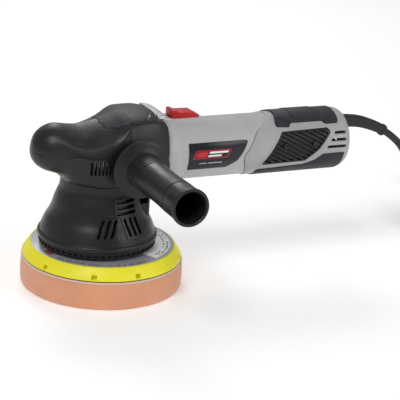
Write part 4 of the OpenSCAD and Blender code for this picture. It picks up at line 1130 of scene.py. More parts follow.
# Square duct behind the flare: rear face, half width, top
DUCT_X = 44.5
DUCT_HALF = 26
DUCT_TOP = 96.7


def flare(neck, grow=0.0, low=0.0):
    """Smooth outline of the shroud above its lip, over a share of its height"""
    rise = NECK_Z - FOOT_Z
    keys = [(neck + (RIM_R - neck) * r, FOOT_Z + rise * h) for h, r in FLARE if h >= low]
    return [(r + grow, z) for r, z in smooth_line(keys, 5)]


def slanted(x, z, w, h, lean):
    """Slot outline with round ends that leans by some millimetres"""
    return rounded([(x, z), (x + w, z), (x + w + lean, z + h), (x + lean, z + h)], w * 0.3, 3)


def make_shroud(sizes):
    neck = sizes.neck_diameter / 2 / MM
    wall = sizes.cover_wall / MM
    cone = flare(neck)
    lip = [(RIM_R - wall, FOOT_Z + 5.6), (RIM_R - 1.6, FOOT_Z + 5.6), (RIM_R - 0.5, FOOT_Z + 6.0),
           (RIM_R, FOOT_Z + 7.2), (RIM_R, FOOT_Z + 9.0), (RIM_R - 0.4, FOOT_Z + 10.2),
           (RIM_R - 1.3, FOOT_Z + 11.0), (RIM_R - 2.1, FOOT_Z + 11.3), (RIM_R - 2.5, FOOT_Z + 11.8)]
    inner = [(r - wall, z) for r, z in cone[:-4]]
    shell = lathe(lip + cone[1:] + [(30.3, NECK_Z), (30.3, NECK_Z - wall),
                                    (neck - wall, NECK_Z - wall)]
                  + inner[::-1] + [(RIM_R - wall - 2, FOOT_Z + 9)], 200)
    shroud = solid("flared_shroud", shell)
    box = rounded([(10, -DUCT_HALF), (DUCT_X, -DUCT_HALF), (DUCT_X, DUCT_HALF), (10, DUCT_HALF)],
                  [0, 3, 3, 0])
    shroud = add(shroud, prism(box, FOOT_Z + 6, DUCT_TOP))
    hollow = rounded([(-4, -DUCT_HALF + wall), (DUCT_X - wall, -DUCT_HALF + wall),
                      (DUCT_X - wall, DUCT_HALF - wall), (-4, DUCT_HALF - wall)], [0, 2, 2, 0])
    inside = lathe([(0, FOOT_Z + 1), (RIM_R - wall - 2, FOOT_Z + 1), (RIM_R - wall - 2, FOOT_Z + 9)]
                   + inner + [(neck - wall, NECK_Z - wall), (0, NECK_Z - wall)], 200)
    raised = [(r + 0.8, z) for r, z in cone if FOOT_Z + 15 < z < NECK_Z - 13]
    raised = lathe([(30, FOOT_Z + 14)] + raised + [(30, NECK_Z - 13)], 200)
    z0 = FOOT_Z + 15.6
    pads = [rounded([(x, z0 + z) for x, z in corners_of], r) for r, corners_of in (
        (1.2, [(-23.4, 1.6), (-0.2, 1.6), (3.4, 21.2), (-18.2, 21.2)]),
        (1.2, [(9.6, 1.6), (29, 1.6), (24, 21.2), (4.6, 21.2)]),
        (1.4, [(-1.6, 21.8), (24.6, 21.8), (24.6, 38.4), (-0.4, 38.4)]))]
    for y0, y1 in ((-70, -25), (25, 70)):
        pad_skins = keep(solid("pads", raised), joined(*[side_prism(p, y0, y1, 0) for p in pads]))
        shroud = add(shroud, shape_of(pad_skins))
    shroud = cut(shroud, inside, prism(hollow, FOOT_Z + 1, DUCT_TOP - wall))
    slots = [slanted(-21.6 + i * 6.3, z0 + 3.6, 3.4, 16.6, 7.6) for i in range(3)]
    slots += [slanted(12.4 + i * 6.0, z0 + 3.6, 3.2, 16.6, -5.4) for i in range(3)]
    slots += [rounded([(1.2, z), (22.4, z), (22.4, z + 3.4), (1.2, z + 3.4)], 1.0)
              for z in (z0 + 23.2, z0 + 28.4, z0 + 33.6)]
    shroud = cut(shroud, joined(*[side_prism(s, -70, -28, 0) for s in slots]),
                 joined(*[side_prism(s, 28, 70, 0) for s in slots]))
    windows = rounded([(32, 86.5), (41.5, 86.5), (41.5, 93), (32, 93)], 1.5)
    shroud = cut(shroud, side_prism(windows, -30, -20, 0), side_prism(windows, 20, 30, 0))
    # Dark sheet 6.5 mm inside the cone: it stands in for the shade seen through the slots
    baffle = [(r - 6.5, z) for r, z in cone if z < NECK_Z - 12]
    foot_r = baffle[0][0]
    baffle = lathe([(foot_r + 4, FOOT_Z + 12.4)] + baffle + [(r - 1.2, z) for r, z in baffle[::-1]] +
                   [(foot_r - 1.2, FOOT_Z + 11.2), (foot_r + 4, FOOT_Z + 11.2)], 120)
    soften(shroud, 0.0004, 2, 38)
    shroud = merged("flared_shroud", shroud, solid("baffle", baffle))
    settled_piece(shroud, "black_plastic", "machine", "shroud")


def make_shroud_ring(sizes):
    low, high = FOOT_Z, RING_TOP
    inner = RING_R - 5
    bands = solid("ring_bands", joined(
        lathe([(inner, low), (RING_R - 0.4, low), (RING_R, low + 0.4), (RING_R, low + 1.3),
               (RING_R - 1.8, low + 1.5), (RING_R - 1.8, high - 1.7), (RING_R, high - 1.5),
               (RING_R, high), (inner, high)], 200)))
    rib = rounded([(-1.9, -0.95), (0.0, -0.95), (0.0, 0.95), (-1.9, 0.95)], [0, 0.4, 0.4, 0], 2)
    # The ring takes the darker black: painted shade in the gap under the shroud
    ribs = repeated("ring_ribs", "ring", prism(rib, 0, high - low - 2.4), "grille_plastic",
                    Count=sizes.ring_windows, Radius=RING_R * MM)
    shifted(ribs, Matrix.Translation((0, 0, low + 1.2)))
    piece = merged("shroud_vent_ring", bands, ribs)
    settled_piece(piece, "grille_plastic", "machine", "shroud_ring")


# ---- head covers ----

# Upper cover: place along X, half width, height over the parting plane, squareness
UPPER_KEYS = [
    (-71.4, 0, 0, 2), (-71.1, 3.6, 4, 2), (-70.5, 6.2, 7, 2), (-69.8, 8.6, 9.7, 2),
    (-66, 15.6, 17, 2.1), (-59, 21.6, 22.6, 2.2), (-49, 26, 26.4, 2.2), (-37, 33.4, 25.2, 1.8),
    (-25, 38.8, 24.4, 1.65), (-12, 41.6, 26.6, 1.85), (2, 42, 30.6, 2.4), (14, 42, 35.2, 3),
    (24, 41.8, 37, 3.3), (45, 39.2, 36.4, 3.4), (57, 36.5, 29, 3.2)]
# Lower cover: place along X, half width, depth under the parting plane, squareness
LOWER_KEYS = [
    (-71.4, 0, 0, 2), (-71.1, 3.6, 3.6, 2), (-70.5, 6.2, 6.2, 2), (-69.8, 8.6, 8.4, 2),
    (-66, 15.6, 13.6, 2.1), (-59, 21.6, 18.2, 2.2), (-49.5, 25.8, 21.2, 2.4),
    (-44, 28, 23.5, 3), (-40, 31.5, 28.6, 3.8), (-33, 36, 30.6, 5), (-22, 40, 31.8, 7.5),
    (-10, 42, 32.3, 12), (10, 42, 32.6, 12), (30, 41.5, 34.5, 12), (38, 40.5, 41.6, 9),
    (48, 38.5, 42, 7), (57, 36.5, 42, 5)]
# Fold along the side: place along X, angle from the parting plane, flattening under and over it,
# softness
UPPER_FOLD = [(-70, 30, 0, 0, 6), (-60, 29, 0.1, 0.12, 6), (-45, 27, 0.3, 0.34, 4),
              (-20, 24, 0.4, 0.42, 3), (0, 21, 0.45, 0.4, 2), (7, 24, 0.55, 0.4, 1),
              (14, 36, 0.6, 0.42, 0), (21, 45, 0.6, 0.45, 0), (57, 45, 0.6, 0.45, 0)]
LOWER_FOLD = [(-70, 45, 0, 0, 6), (-44, 45, 0.05, 0.05, 5), (-30, 45, 0.3, 0.3, 2),
              (0, 45, 0.4, 0.4, 1), (57, 45, 0.4, 0.4, 1)]
NO_FOLD = (0, 45, 0, 0, 0)


def fold_at(table, x):
    """Row of the fold's table at a place along X"""
    for a, b in zip(table, table[1:]):
        if x <= b[0]:
            t = max(0.0, (x - a[0]) / (b[0] - a[0]))
            t = t * t * (3 - 2 * t)
            return [p + (q - p) * t for p, q in zip(a, b)]
    return table[-1]


def evenly(points, count):
    """Points at even steps along a line"""
    reach = [0.0]
    for a, b in zip(points, points[1:]):
        reach.append(reach[-1] + math.dist(a, b))
    out, i = [], 0
    for s in range(count + 1):
        want = reach[-1] * s / count
        while i < len(points) - 2 and reach[i + 1] < want:
            i += 1
        t = (want - reach[i]) / (reach[i + 1] - reach[i]) if reach[i + 1] > reach[i] else 0
        out.append(tuple(p + (q - p) * t for p, q in zip(points[i], points[i + 1])))
    return out


# Points on each stretch of half a cover's cross-section: the seam's edge, the side and the roof
EDGE_POINTS, SIDE_STEPS, ROOF_STEPS = 2, 16, 24
# Points on each side of the fold that a soft fold moves
FOLD_REACH = 6


def half_arch(w, h, n, fold, groove):
    """Half of a cover's cross-section, from the parting plane to the crown"""
    if w <= 0 or h <= 0:
        return [(0.0, 0.0)] * (EDGE_POINTS + SIDE_STEPS + 1 + ROOF_STEPS)
    _, angle, under, over, soft = fold

    def at(a):
        return (w * math.cos(a) ** (2 / n), h * math.sin(a) ** (2 / n))

    split, crown = math.radians(angle), math.pi / 2 - 1e-9
    side = evenly([at(split * s / 60) for s in range(61)], SIDE_STEPS)
    roof = evenly([at(split + (crown - split) * s / 80) for s in range(81)], ROOF_STEPS)
    line = []
    for part, flat in ((side, under), (roof, over)):
        a, b = Vector(part[0]), Vector(part[-1])
        way = (b - a).normalized()
        for p in part if part is side else part[1:]:
            q = a + way * (Vector(p) - a).dot(way)
            line.append(Vector(p) + (q - Vector(p)) * flat)
    for _ in range(int(round(soft)) * 2):
        eased = [line[i] if abs(i - SIDE_STEPS) > FOLD_REACH
                 else (line[i - 1] + 2 * line[i] + line[i + 1]) / 4
                 for i in range(1, len(line) - 1)]
        line = [line[0]] + eased + [line[-1]]
    inset = min(groove, 0.2 * w)
    edge = [(w - inset, 0), (w - 0.25 * inset, min(0.3, 0.05 * h))]
    return edge + [(p.x, p.y) if i else (w, min(0.8, 0.1 * h)) for i, p in enumerate(line)]


def cover(keys, table, up, wall, groove=0.45, grow=0.0):
    """Half shell over (up = 1) or under (up = -1) the parting plane, open at its rear end"""
    rows = [keys[0]] + [row for row in smooth_line(keys, 6) if row[1] > 2.5]
    base = PARTING_Z + 0.1 * up

    def ring(x, w, h, n, folded):
        half = half_arch(w, h, n, fold_at(table, x) if folded else NO_FOLD, groove if folded else 0)
        full = half + [(-y, z) for y, z in half[-2::-1]]
        return [(x, y, base + up * z) for y, z in full]

    outer = [ring(x, w + grow if w > 1 else w, h + grow if h > 1 else h, n, True)
             for x, w, h, n in rows]
    inner = [ring(max(x, NOSE_X + wall), w - wall if w > wall + 4 else 0, h - wall, n, False)
             for x, w, h, n in rows]
    m, n = len(outer[0]), len(rows)
    points = [p for r in outer + inner for p in r]

    def o(i, j):
        return i * m + j

    def q(i, j):
        return (n + i) * m + j

    faces = []
    for i in range(n - 1):
        for j in range(m - 1):
            faces.append((o(i, j), o(i + 1, j), o(i + 1, j + 1), o(i, j + 1)))
            faces.append((q(i, j), q(i, j + 1), q(i + 1, j + 1), q(i + 1, j)))
        faces.append((o(i, 0), q(i, 0), q(i + 1, 0), o(i + 1, 0)))
        faces.append((o(i, m - 1), o(i + 1, m - 1), q(i + 1, m - 1), q(i, m - 1)))
    for j in range(m - 1):
        faces.append((o(n - 1, j), q(n - 1, j), q(n - 1, j + 1), o(n - 1, j + 1)))
    return points, faces


def patch_outline():
    """Plan of the soft patch, with its wavy front edge"""
    front = [(-6, 0), (-5.4, -5), (-6.6, -9), (-4.4, -13), (-4.8, -17.5), (-1.2, -21), (2.6, -23),
             (5.6, -26), (9.5, -27.4), (13, -29.5), (17.5, -31)]
    back = [front[-1], (30, -30.5), (38, -24), (42, -14), (43, 0)]
    near = smooth_line(front, 4) + smooth_line(back, 4)[1:]
    return near + [(x, -y) for x, y in near[-2:0:-1]]


# Light strip of the bearing plate that shows behind the hump: front edge, half width
STRIP_X = 46
STRIP_HALF = 20


def make_upper_cover(sizes):
    wall, seam = sizes.cover_wall / MM, sizes.seam / MM
    piece = solid("upper_cover", cover(UPPER_KEYS, UPPER_FOLD, 1, wall))
    piece = cut(piece, prism(grown(patch_outline(), seam), PARTING_Z + 8, HUMP_TOP + 5),
                block((STRIP_X - 0.3, -STRIP_HALF - 0.3, PARTING_Z + 12),
                      (70, STRIP_HALF + 0.3, 200)))
    soften(piece, 0.0004, 2, 50)
    settled_piece(piece, "black_plastic", "machine", "head_cover_upper", angle=42)


def make_patch(sizes):
    shell = cover(UPPER_KEYS, UPPER_FOLD, 1, 2.4, grow=0.35)
    piece = keep(solid("hump_patch", shell),
                 prism(patch_outline(), PARTING_Z + 8, HUMP_TOP + 5))
    soften(piece, 0.0004, 3, 45)
    settled_piece(piece, "soft_grip", "machine", "head_patch", angle=42)


def make_lower_cover(sizes):
    wall = sizes.cover_wall / MM
    neck = sizes.neck_diameter / 2 / MM
    piece = solid("lower_cover", cover(LOWER_KEYS, LOWER_FOLD, -1, wall))
    room = lathe([(0, 90)] + [(r + 0.4, z) for r, z in flare(neck, low=0.6)] +
                 [(neck + 0.4, NECK_Z + 2), (0, NECK_Z + 2)], 160)
    boss = [moved(lathe([(0, -12), (8.4, -12), (8.4, 12), (0, 12)], 48),
                  Matrix.Translation((HANDLE.x, side * HEAD_HALF, AXIS_Z)) @
                  turn_about("X", 90)) for side in (-1, 1)]
    vents = []
    for i in range(sizes.head_vents):
        x = -24 + i * 3.6
        slot = rounded([(x - 1.05, PARTING_Z - 16), (x + 1.05, PARTING_Z - 16),
                        (x + 1.05, PARTING_Z - 2.8), (x - 1.05, PARTING_Z - 2.8)], 0.6, 3)
        vents += [side_prism(slot, -60, -20, 0), side_prism(slot, 20, 60, 0)]
    screws = [moved(lathe([(0, -60), (3, -60), (3, 0), (0, 0)], 32),
                    Matrix.Translation((-50, s * 11, PARTING_Z - 14))) for s in (-1, 1)]
    piece = cut(piece, room, *boss, joined(*vents), *screws)
    soften(piece, 0.0004, 2, 50)
    settled_piece(piece, "black_plastic", "machine", "head_cover_lower", angle=42)


def screw_shape(radius, height, slots=6):
    """Screw head with a star recess, its top at z = height"""
    head = solid("head", lathe([(0, 0), (radius, 0), (radius, height * 0.55),
                                (radius * 0.86, height), (0, height)], 32))
    star = []
    for i in range(slots * 4):
        a = 2 * math.pi * i / (slots * 4)
        r = radius * (0.44 + 0.09 * math.cos(slots * a))
        star.append((r * math.cos(a), r * math.sin(a)))
    head = cut(head, prism(star, height * 0.3, height + 1))
    return shape_of(head)


def make_screws(sizes):
    under = [((-50, side * 11, PARTING_Z - 14.2), (0, 0, -1)) for side in (-1, 1)]
    panel = [((x, side * (REAR_R - 0.3), AXIS_Z + 4), (0, side, 0.08))
             for side in (-1, 1) for x in (REAR_END - 78, REAR_END - 44)]
    for name, node, height, spots, seed in (
            ("cover_screw_heads", "cover_screws", 3.6, under, 5),
            ("grille_screw_heads", "grille_screws", 1.7, panel, 9)):
        heads = repeated(name, "place", screw_shape(2.8, height), "black_steel",
                         places(name, *zip(*spots)), Turn=6.28, Seed=seed)
        settled_piece(heads, "black_steel", "machine", node)


# ---- body ----

BORE_R = 27.4
REAR_ROUND = 9
# Outlines seen from the side: place along X, height over the motor's axis
PARTING_LINE = [(178, 60), (176, 31), (170.5, 27), (164, 22.5), (156.8, 19.4), (148, 5),
                (141.8, -4), (142.2, -9), (144, -13.5), (150, -29), (152, -60)]
NAME_PLATE = [(80.8, 13), (80.8, -14), (123, -14), (134, -7.5), (139, 0), (146, 12.9)]
GRILLE = [(162, -15), (184, 17.5), (236, 18.5), (240, 15), (226, -2), (212, -14)]
GRILLE_ROUND = [2, 3, 2, 3, 3, 4]
BOTTOM_GRIP = [(159.5, -40), (160, -21.5), (212, -19), (223, -15), (232, -8), (256, -7.6),
               (256, -22), (253, -40)]
TOP_GRIP = [(183.5, 0), (183, -8), (181, -14), (179.5, -19), (179.5, -21.9), (193.4, -22.7),
            (196.4, -19.2), (232.2, -19.2), (235.4, -22), (250.4, -22), (251, -12), (250.6, 0)]


def pipe(r0, r1, x0, x1, steps=200):
    """Length of pipe on the motor's axis"""
    return along_x(lathe([(r0, x0), (r1, x0), (r1, x1), (r0, x1)], steps))


def half(side):
    """Y range of the far side (1), the near side (-1) or both (0)"""
    return {1: (0, 60), -1: (-60, 0), 0: (-60, 60)}[side]


def skin(outline, r0, r1, side):
    """Plate that follows the body, cut to an outline seen from side 1, -1 or 0 for both"""
    low, high = min(x for x, _ in outline) - 4, max(x for x, _ in outline) + 4
    shell = solid("skin", pipe(r0, r1, low, high))
    return shape_of(keep(shell, side_prism(outline, *half(side))))


def behind_parting(gap):
    """Block behind the slanted joint of the body, moved back by a gap"""
    line = rounded(PARTING_LINE, [0, 8, 8, 6, 10, 12, 8, 4, 6, 8, 0], 5)
    return side_prism([(x + gap, h) for x, h in line] + [(400, -60), (400, 60)], *half(0))


def top_grip_outline():
    """Plan of the top grip, both halves"""
    return TOP_GRIP + [(x, -y) for x, y in TOP_GRIP[-2:0:-1]]


def grip_column(plan):
    """Upright block of a plan over the body"""
    return prism(rounded(plan, 3), AXIS_Z + 5, AXIS_Z + 50)


def make_motor_housing(sizes):
    collar = [(BORE_R, COLLAR_X), (COLLAR_R - 0.8, COLLAR_X), (COLLAR_R, COLLAR_X + 0.8),
              (COLLAR_R, COLLAR_X + 11.6), (COLLAR_R - 0.4, COLLAR_X + 12.7),
              (COLLAR_R - 1.3, 72.4), (TUBE_R + 0.5, 77.6), (TUBE_R, 80), (TUBE_R, 182),
              (BORE_R, 182)]
    piece = solid("motor_tube", along_x(lathe(collar, 220)))
    top = BED_TOP - AXIS_Z
    bed = [(COLLAR_X, 10), (COLLAR_X, top), (103, top), (108.4, TUBE_R - 1.2), (108.4, 10)]
    piece = add(piece, side_prism(bed, -11.5, 11.5))
    bore = along_x(lathe([(0, COLLAR_X - 2), (BORE_R, COLLAR_X - 2), (BORE_R, 190), (0, 190)], 160))
    well = block((SLIDER_X - 2, -6.2, AXIS_Z + 22), (SLIDER_END - 4, 6.2, BED_TOP + 1))
    slot = block((COLLAR_X + 3.5, -40, AXIS_Z - 24.5), (COLLAR_X + 14, 40, AXIS_Z - 23.3))
    piece = cut(piece, bore, well, slot, behind_parting(-0.35))
    soften(piece, 0.0005, 3, 30)
    settled_piece(piece, "grey_plastic", "machine", "motor_housing")


def make_rear_cover(sizes):
    seam = sizes.seam / MM
    outline = [(BORE_R, 138), (REAR_R, 138), (REAR_R, REAR_END - REAR_ROUND)]
    outline += [(REAR_R - REAR_ROUND + REAR_ROUND * math.cos(a),
                 REAR_END - REAR_ROUND + REAR_ROUND * math.sin(a))
                for a in (math.radians(d) for d in range(9, 91, 9))]
    outline += [(12, REAR_END), (0, REAR_END), (0, REAR_END - 3), (REAR_R - 12, REAR_END - 3),
                (REAR_R - 5, REAR_END - 6), (BORE_R, REAR_END - 12)]
    piece = solid("rear_shell", along_x(lathe(outline, 220)))
    piece = keep(piece, behind_parting(0.35))
    raised = []
    for side in (-1, 1):
        for i in range(3):
            x, z, end = REAR_END - 21.6 - 4.3 * i, 11.6 - 6.95 * i, REAR_END - 7.4
            slot = rounded([(x, z), (end, z), (end, z + 3.3), (x + 1.6, z + 3.3)], 1.0)
            piece = cut(piece, side_prism(slot, *half(side)))
        pocket = rounded(grown(GRILLE, 0.2), GRILLE_ROUND)
        piece = cut(piece, side_prism(pocket, *half(side)))
        rim = rounded(grown(GRILLE, 2.0), [r + 1 for r in GRILLE_ROUND])
        opening = side_prism(rounded(grown(GRILLE, 0.5), GRILLE_ROUND), *half(side))
        ridge = solid("frame", skin(rim, REAR_R - 1, REAR_R + 0.55, side))
        raised.append(shape_of(cut(ridge, opening)))
    piece = cut(piece, skin(rounded(grown(BOTTOM_GRIP, seam), 1.5), REAR_R - 0.9, REAR_R + 2, 0))
    groove = shape_of(keep(solid("groove", pipe(REAR_R - 0.8, REAR_R + 3, 160, 256)),
                           grip_column(grown(top_grip_outline(), seam))))
    gland = along_x(lathe([(0, REAR_END - 14), (7.6, REAR_END - 14), (7.6, REAR_END + 1),
                           (0, REAR_END + 1)], 64), 0, 0, GLAND_POINTS[0][2])
    dial = block((DIAL.x - DIAL_R - 1, -4, DIAL.z - DIAL_R - 1),
                 (REAR_END + 2, 4, DIAL.z + DIAL_R + 1))
    piece = cut(piece, groove, gland, dial)
    piece = add(piece, *raised)
    soften(piece, 0.0004, 2, 32)
    settled_piece(piece, "dark_grey_plastic", "machine", "rear_cover")


def make_top_grip(sizes):
    piece = solid("top_rubber", pipe(REAR_R - 0.7, REAR_R + 1.4, 160, 256))
    piece = keep(piece, grip_column(top_grip_outline()))
    ridge = [(200.5, -17.6), (229.5, -17.6), (229.5, 17.6), (200.5, 17.6)]
    raised = keep(solid("ridge", pipe(REAR_R, REAR_R + 2, 190, 240)), grip_column(ridge))
    piece = soften(add(piece, shape_of(raised)), 0.0006, 3, 40)
    settled_piece(piece, "soft_grip", "machine", "rear_top_grip")


def make_side_panels(sizes):
    plates = [solid("plate", skin(rounded(NAME_PLATE, [1, 1, 2, 3, 3, 1.5]),
                                  TUBE_R + 0.02, TUBE_R + 0.48, side)) for side in (-1, 1)]
    plates = soften(merged("name_plate_films", *plates), 0.00015, 2, 40)
    settled_piece(plates, "plate_film", "machine", "name_plates")
    grips = soften(solid("lower_rubber", skin(rounded(BOTTOM_GRIP, 1.5), REAR_R - 0.85,
                                              REAR_R + 0.75, 0)), 0.0004, 2, 40)
    settled_piece(grips, "soft_grip", "machine", "rear_bottom_grip")


GRILLE_SLOPE = math.radians(-27)
GRILLE_MIDDLE = Vector((202, 1))


def make_grilles(sizes):
    outline = rounded(GRILLE, GRILLE_ROUND)
    parts = [solid("base", skin(outline, REAR_R - 4.5, REAR_R - 1.9, side)) for side in (-1, 1)]
    length = Vector((math.cos(GRILLE_SLOPE), math.sin(GRILLE_SLOPE)))
    across = Vector((-length.y, length.x))
    count = sizes.grille_ribs
    pitch = 60.0 / count
    first = GRILLE_MIDDLE + across * (-(count - 1) / 2 * pitch)
    blade = [tuple(length * a + across * b)
             for a, b in ((-60, -0.95), (60, -0.95), (60, 0.95), (-60, 0.95))]
    # The grilles take the darker black: their own black, made darker with painted shade for their
    # recess
    row = repeated("grille_blades", "row", side_prism(blade, -34, 34, AXIS_Z), "grille_plastic",
                   Count=count, First=(first.x * MM, 0, first.y * MM),
                   Step=(across.x * pitch * MM, 0, across.y * pitch * MM))
    blades = shape_of(row)
    for side in (-1, 1):
        ribs = keep(solid("ribs", blades), skin(outline, REAR_R - 2.4, REAR_R - 0.15, side))
        parts.append(soften(ribs, 0.0003, 2, 40))
    opening = rounded(grown(GRILLE, -1.3), GRILLE_ROUND)
    for side in (-1, 1):
        parts.append(cut(solid("band", skin(outline, REAR_R - 3, REAR_R - 0.1, side)),
                         side_prism(opening, *half(side))))
    piece = merged("grille_panels", *parts)
    settled_piece(piece, "grille_plastic", "machine", "side_grilles")


def make_strip(sizes):
    """Bearing plate with the strip that shows behind the head"""
    _, w, h, n = UPPER_KEYS[-2]

    def band(x, drop):
        line = []
        for s in range(41):
            y = -STRIP_HALF + 0.4 + (2 * STRIP_HALF - 0.8) * s / 40
            line.append((x, y, PARTING_Z + h * max(0, 1 - (abs(y) / w) ** n) ** (1 / n) - drop))
        return line

    upper = [band(STRIP_X + 0.3, 0.4), band(STRIP_X + 1, 0), band(STRIP_X + 6, 0.6),
             band(HEAD_REAR - 1.2, 1.5), band(HEAD_REAR, 2.6)]
    m, n = len(upper[0]), len(upper)
    points = [p for r in upper for p in r] + [(p[0], p[1], p[2] - 6) for r in upper for p in r]
    faces = []
    for i in range(n - 1):
        for j in range(m - 1):
            a, b = i * m + j, (i + 1) * m + j
            faces.append((a, b, b + 1, a + 1))
            faces.append((n * m + a, n * m + a + 1, n * m + b + 1, n * m + b))
    edge = list(range(m)) + [i * m + m - 1 for i in range(1, n)]
    edge += [(n - 1) * m + j for j in range(m - 2, -1, -1)] + [i * m for i in range(n - 2, 0, -1)]
    for a, b in zip(edge, edge[1:] + edge[:1]):
        faces.append((a, b, n * m + b, n * m + a))
    piece = solid("plate_strip", (points, faces))
    disc = along_x(lathe([(6, 54.2), (30, 54.2), (30, HEAD_REAR), (6, HEAD_REAR)], 160))
    lug = moved(lathe([(0, -4), (2.2, -4), (2.9, -3.2), (2.9, 3.2), (2.2, 4), (0, 4)], 40),
                Matrix.Translation((52, -STRIP_HALF - 1.2, PARTING_Z + 31.8)) @
                turn_about("Y", 90))
    web = block((54.2, -8, AXIS_Z + 24), (HEAD_REAR, 8, PARTING_Z + 27))
    piece = merged("bearing_plate_cast", piece, solid("disc", disc), solid("lug", lug),
                   solid("web", web))
    soften(piece, 0.0003, 2, 40)
    settled_piece(piece, "cast_aluminium", "machine", "bearing_plate")


def make_slider(sizes):
    x0, x1 = SLIDER_X, SLIDER_END
    z0, z1 = corners("switch_slider")[0].z, SLIDER_TOP
    h = z1 - z0
    side = rounded([(x0 + 0.4, 0), (x0 - 0.5, h - 1.8), (x0, h), (x0 + 3.6, h - 0.3),
                    (x0 + 7, h - 2.2), (x1 - 6, h - 2.6), (x1 - 0.4, h - 5.4), (x1 - 0.4, 0)],
                   [0, 0.6, 0.8, 2, 3, 3, 1, 0])
    piece = solid("slider_button", side_prism(side, -9, 9, z0))
    ridge = lathe([(0, -6.4), (0.75, -6.4), (0.75, 6.4), (0, 6.4)], 20)
    ridges = repeated("slider_ridges", "row", moved(ridge, turn_about("X", 90)),
                      "red_plastic", Count=5, First=((x0 + 10) * MM, 0, (z1 - 2.75) * MM),
                      Step=(0.0026, 0, 0))
    piece = soften(piece, 0.0007, 3, 30)
    piece = merged("slider_switch", piece, ridges)
    settled_piece(piece, "red_plastic", "switch_slider", "switch_slider")


def make_dial(sizes):
    wheel = solid("dial_wheel", lathe([(0, -3), (DIAL_R - 1.3, -3), (DIAL_R - 0.9, -2.6),
                                       (DIAL_R - 0.9, 2.6), (DIAL_R - 1.3, 3), (0, 3)], 96))
    grip = rounded([(-1.2, -0.6), (0, -0.45), (0, 0.45), (-1.2, 0.6)], [0, 0.25, 0.25, 0], 2)
    grips = repeated("dial_grips", "ring", prism(grip, -2.7, 2.7), "red_plastic",
                     Count=sizes.dial_grips, Radius=DIAL_R * MM)
    piece = merged("dial", soften(wheel, 0.0002, 2), grips)
    shifted(piece, Matrix.Translation((DIAL.x, 0, DIAL.z)) @ turn_about("X", 90))
    settled_piece(piece, "red_plastic", "speed_dial", "speed_dial")


def make_handle(sizes):
    grip, hollow = sizes.grip_diameter / 2 / MM, sizes.hollow_diameter / 2 / MM
    length = HANDLE_FOOT - HANDLE_END
    outline = [(4.2, 0), (17, 0), (24, 1.2), (FLANGE_R - 1.5, 3.2), (FLANGE_R - 0.3, 4.2),
               (FLANGE_R, 5.2), (FLANGE_R - 0.4, 6.2), (FLANGE_R - 1.6, 6.9), (24.5, 7.6),
               (grip + 2.6, 8.6), (grip + 0.7, 10), (grip, 12.2)]
    for d in (13, 18, 23, 28, 33):
        outline += [(grip, d - 0.1), (grip - 0.85, d + 0.35), (grip - 0.85, d + 1.45),
                    (grip, d + 1.9)]
    # The grip is slightly waisted between its rings and the groove near its end
    waist_start, waist_end, waist_steps = 37, length - 31, 14
    for s in range(waist_steps + 1):
        d = waist_start + (waist_end - waist_start) * s / waist_steps
        outline.append((grip - 0.7 * math.sin(math.pi * s / waist_steps), d))
    d = length - 26
    outline += [(grip, d - 0.9), (grip - 0.9, d - 0.4), (grip - 0.9, d + 0.7), (grip, d + 1.2)]
    outline += [(grip, length - 8), (grip + 0.5, length - 6), (grip + 1.1, length - 3.4),
                (grip + 1.2, length - 1.4), (grip + 0.7, length - 0.2), (grip, length),
                (hollow + 0.7, length), (hollow, length - 0.7), (hollow, length - 20),
                (hollow - 0.6, length - 40), (hollow - 1.4, length - 62), (4.2, length - 62)]
    piece = solid("auxiliary_handle", lathe(outline, 160))
    shifted(piece, Matrix.Translation((HANDLE.x, HANDLE_FOOT, AXIS_Z)) @ turn_about("X", 90))
    settled_piece(piece, "handle_plastic", "machine", "side_handle")


def make_sticker(sizes):
    piece = solid("printed_ring", lathe([
        (DISC_HOLE_R, 0), (DISC_R - 0.3, 0), (DISC_R, 0.08), (DISC_R, 0.22), (DISC_R - 0.2, 0.3),
        (DISC_HOLE_R, 0.3)], 240))
    shifted(piece, Matrix.Translation((PAD_X, 0, PLATE_TOP)))
    settled_piece(piece, "printed_disc", "pad", "plate_sticker")


def carry_over():
    """Gives every CAD node that stays its finish"""
    for finish, nodes in CARRIED.items():
        for node in nodes:
            kept = frame["nodes"][node]
            kept.data.materials.clear()
            kept.data.materials.append(finish_of(finish))


# ---- operators ----

class PieceOperator:
    """Runs one builder; the sizes are read from the scene"""

    bl_options = {"REGISTER", "UNDO"}
    builders = ()

    def execute(self, context):
        before = len(bpy.data.objects)
        for build in type(self).builders:
            build(context.scene.polisher_sizes)
        if type(self).builders and len(bpy.data.objects) <= before:
            raise RuntimeError(self.bl_label + " made nothing")
        return {"FINISHED"}


class POLISHER_OT_stage(bpy.types.Operator):
    """Makes the camera, the lights and the floor"""

    bl_idname = "polisher.stage"
    bl_label = "Camera and stage"

    def execute(self, context):
        make_camera()
        make_stage(context.scene.polisher_colours)
        return {"FINISHED"}


class POLISHER_OT_cord(PieceOperator, bpy.types.Operator):
    """Makes the mains cord with its boot, strap and plug"""

    bl_idname = "polisher.cord"
    bl_label = "Mains cord"
    builders = (make_cord,)


class POLISHER_OT_foam(PieceOperator, bpy.types.Operator):
    """Makes the foam of the polishing pad"""

    bl_idname = "polisher.foam"
    bl_label = "Foam pad"
    builders = (make_foam,)


class POLISHER_OT_pad_layers(PieceOperator, bpy.types.Operator):
    """Makes the loop and hook layers between the foam and the plate"""

    bl_idname = "polisher.pad_layers"
    bl_label = "Pad layers"
    builders = (make_pad_layers,)


class POLISHER_OT_backing_plate(PieceOperator, bpy.types.Operator):
    """Makes the notched backing plate and its printed disc"""

    bl_idname = "polisher.backing_plate"
    bl_label = "Backing plate"
    builders = (make_backing_plate, make_sticker)


class POLISHER_OT_shroud(PieceOperator, bpy.types.Operator):
    """Makes the flared shroud and the vent ring under it"""

    bl_idname = "polisher.shroud"
    bl_label = "Shroud"
    builders = (make_shroud, make_shroud_ring)


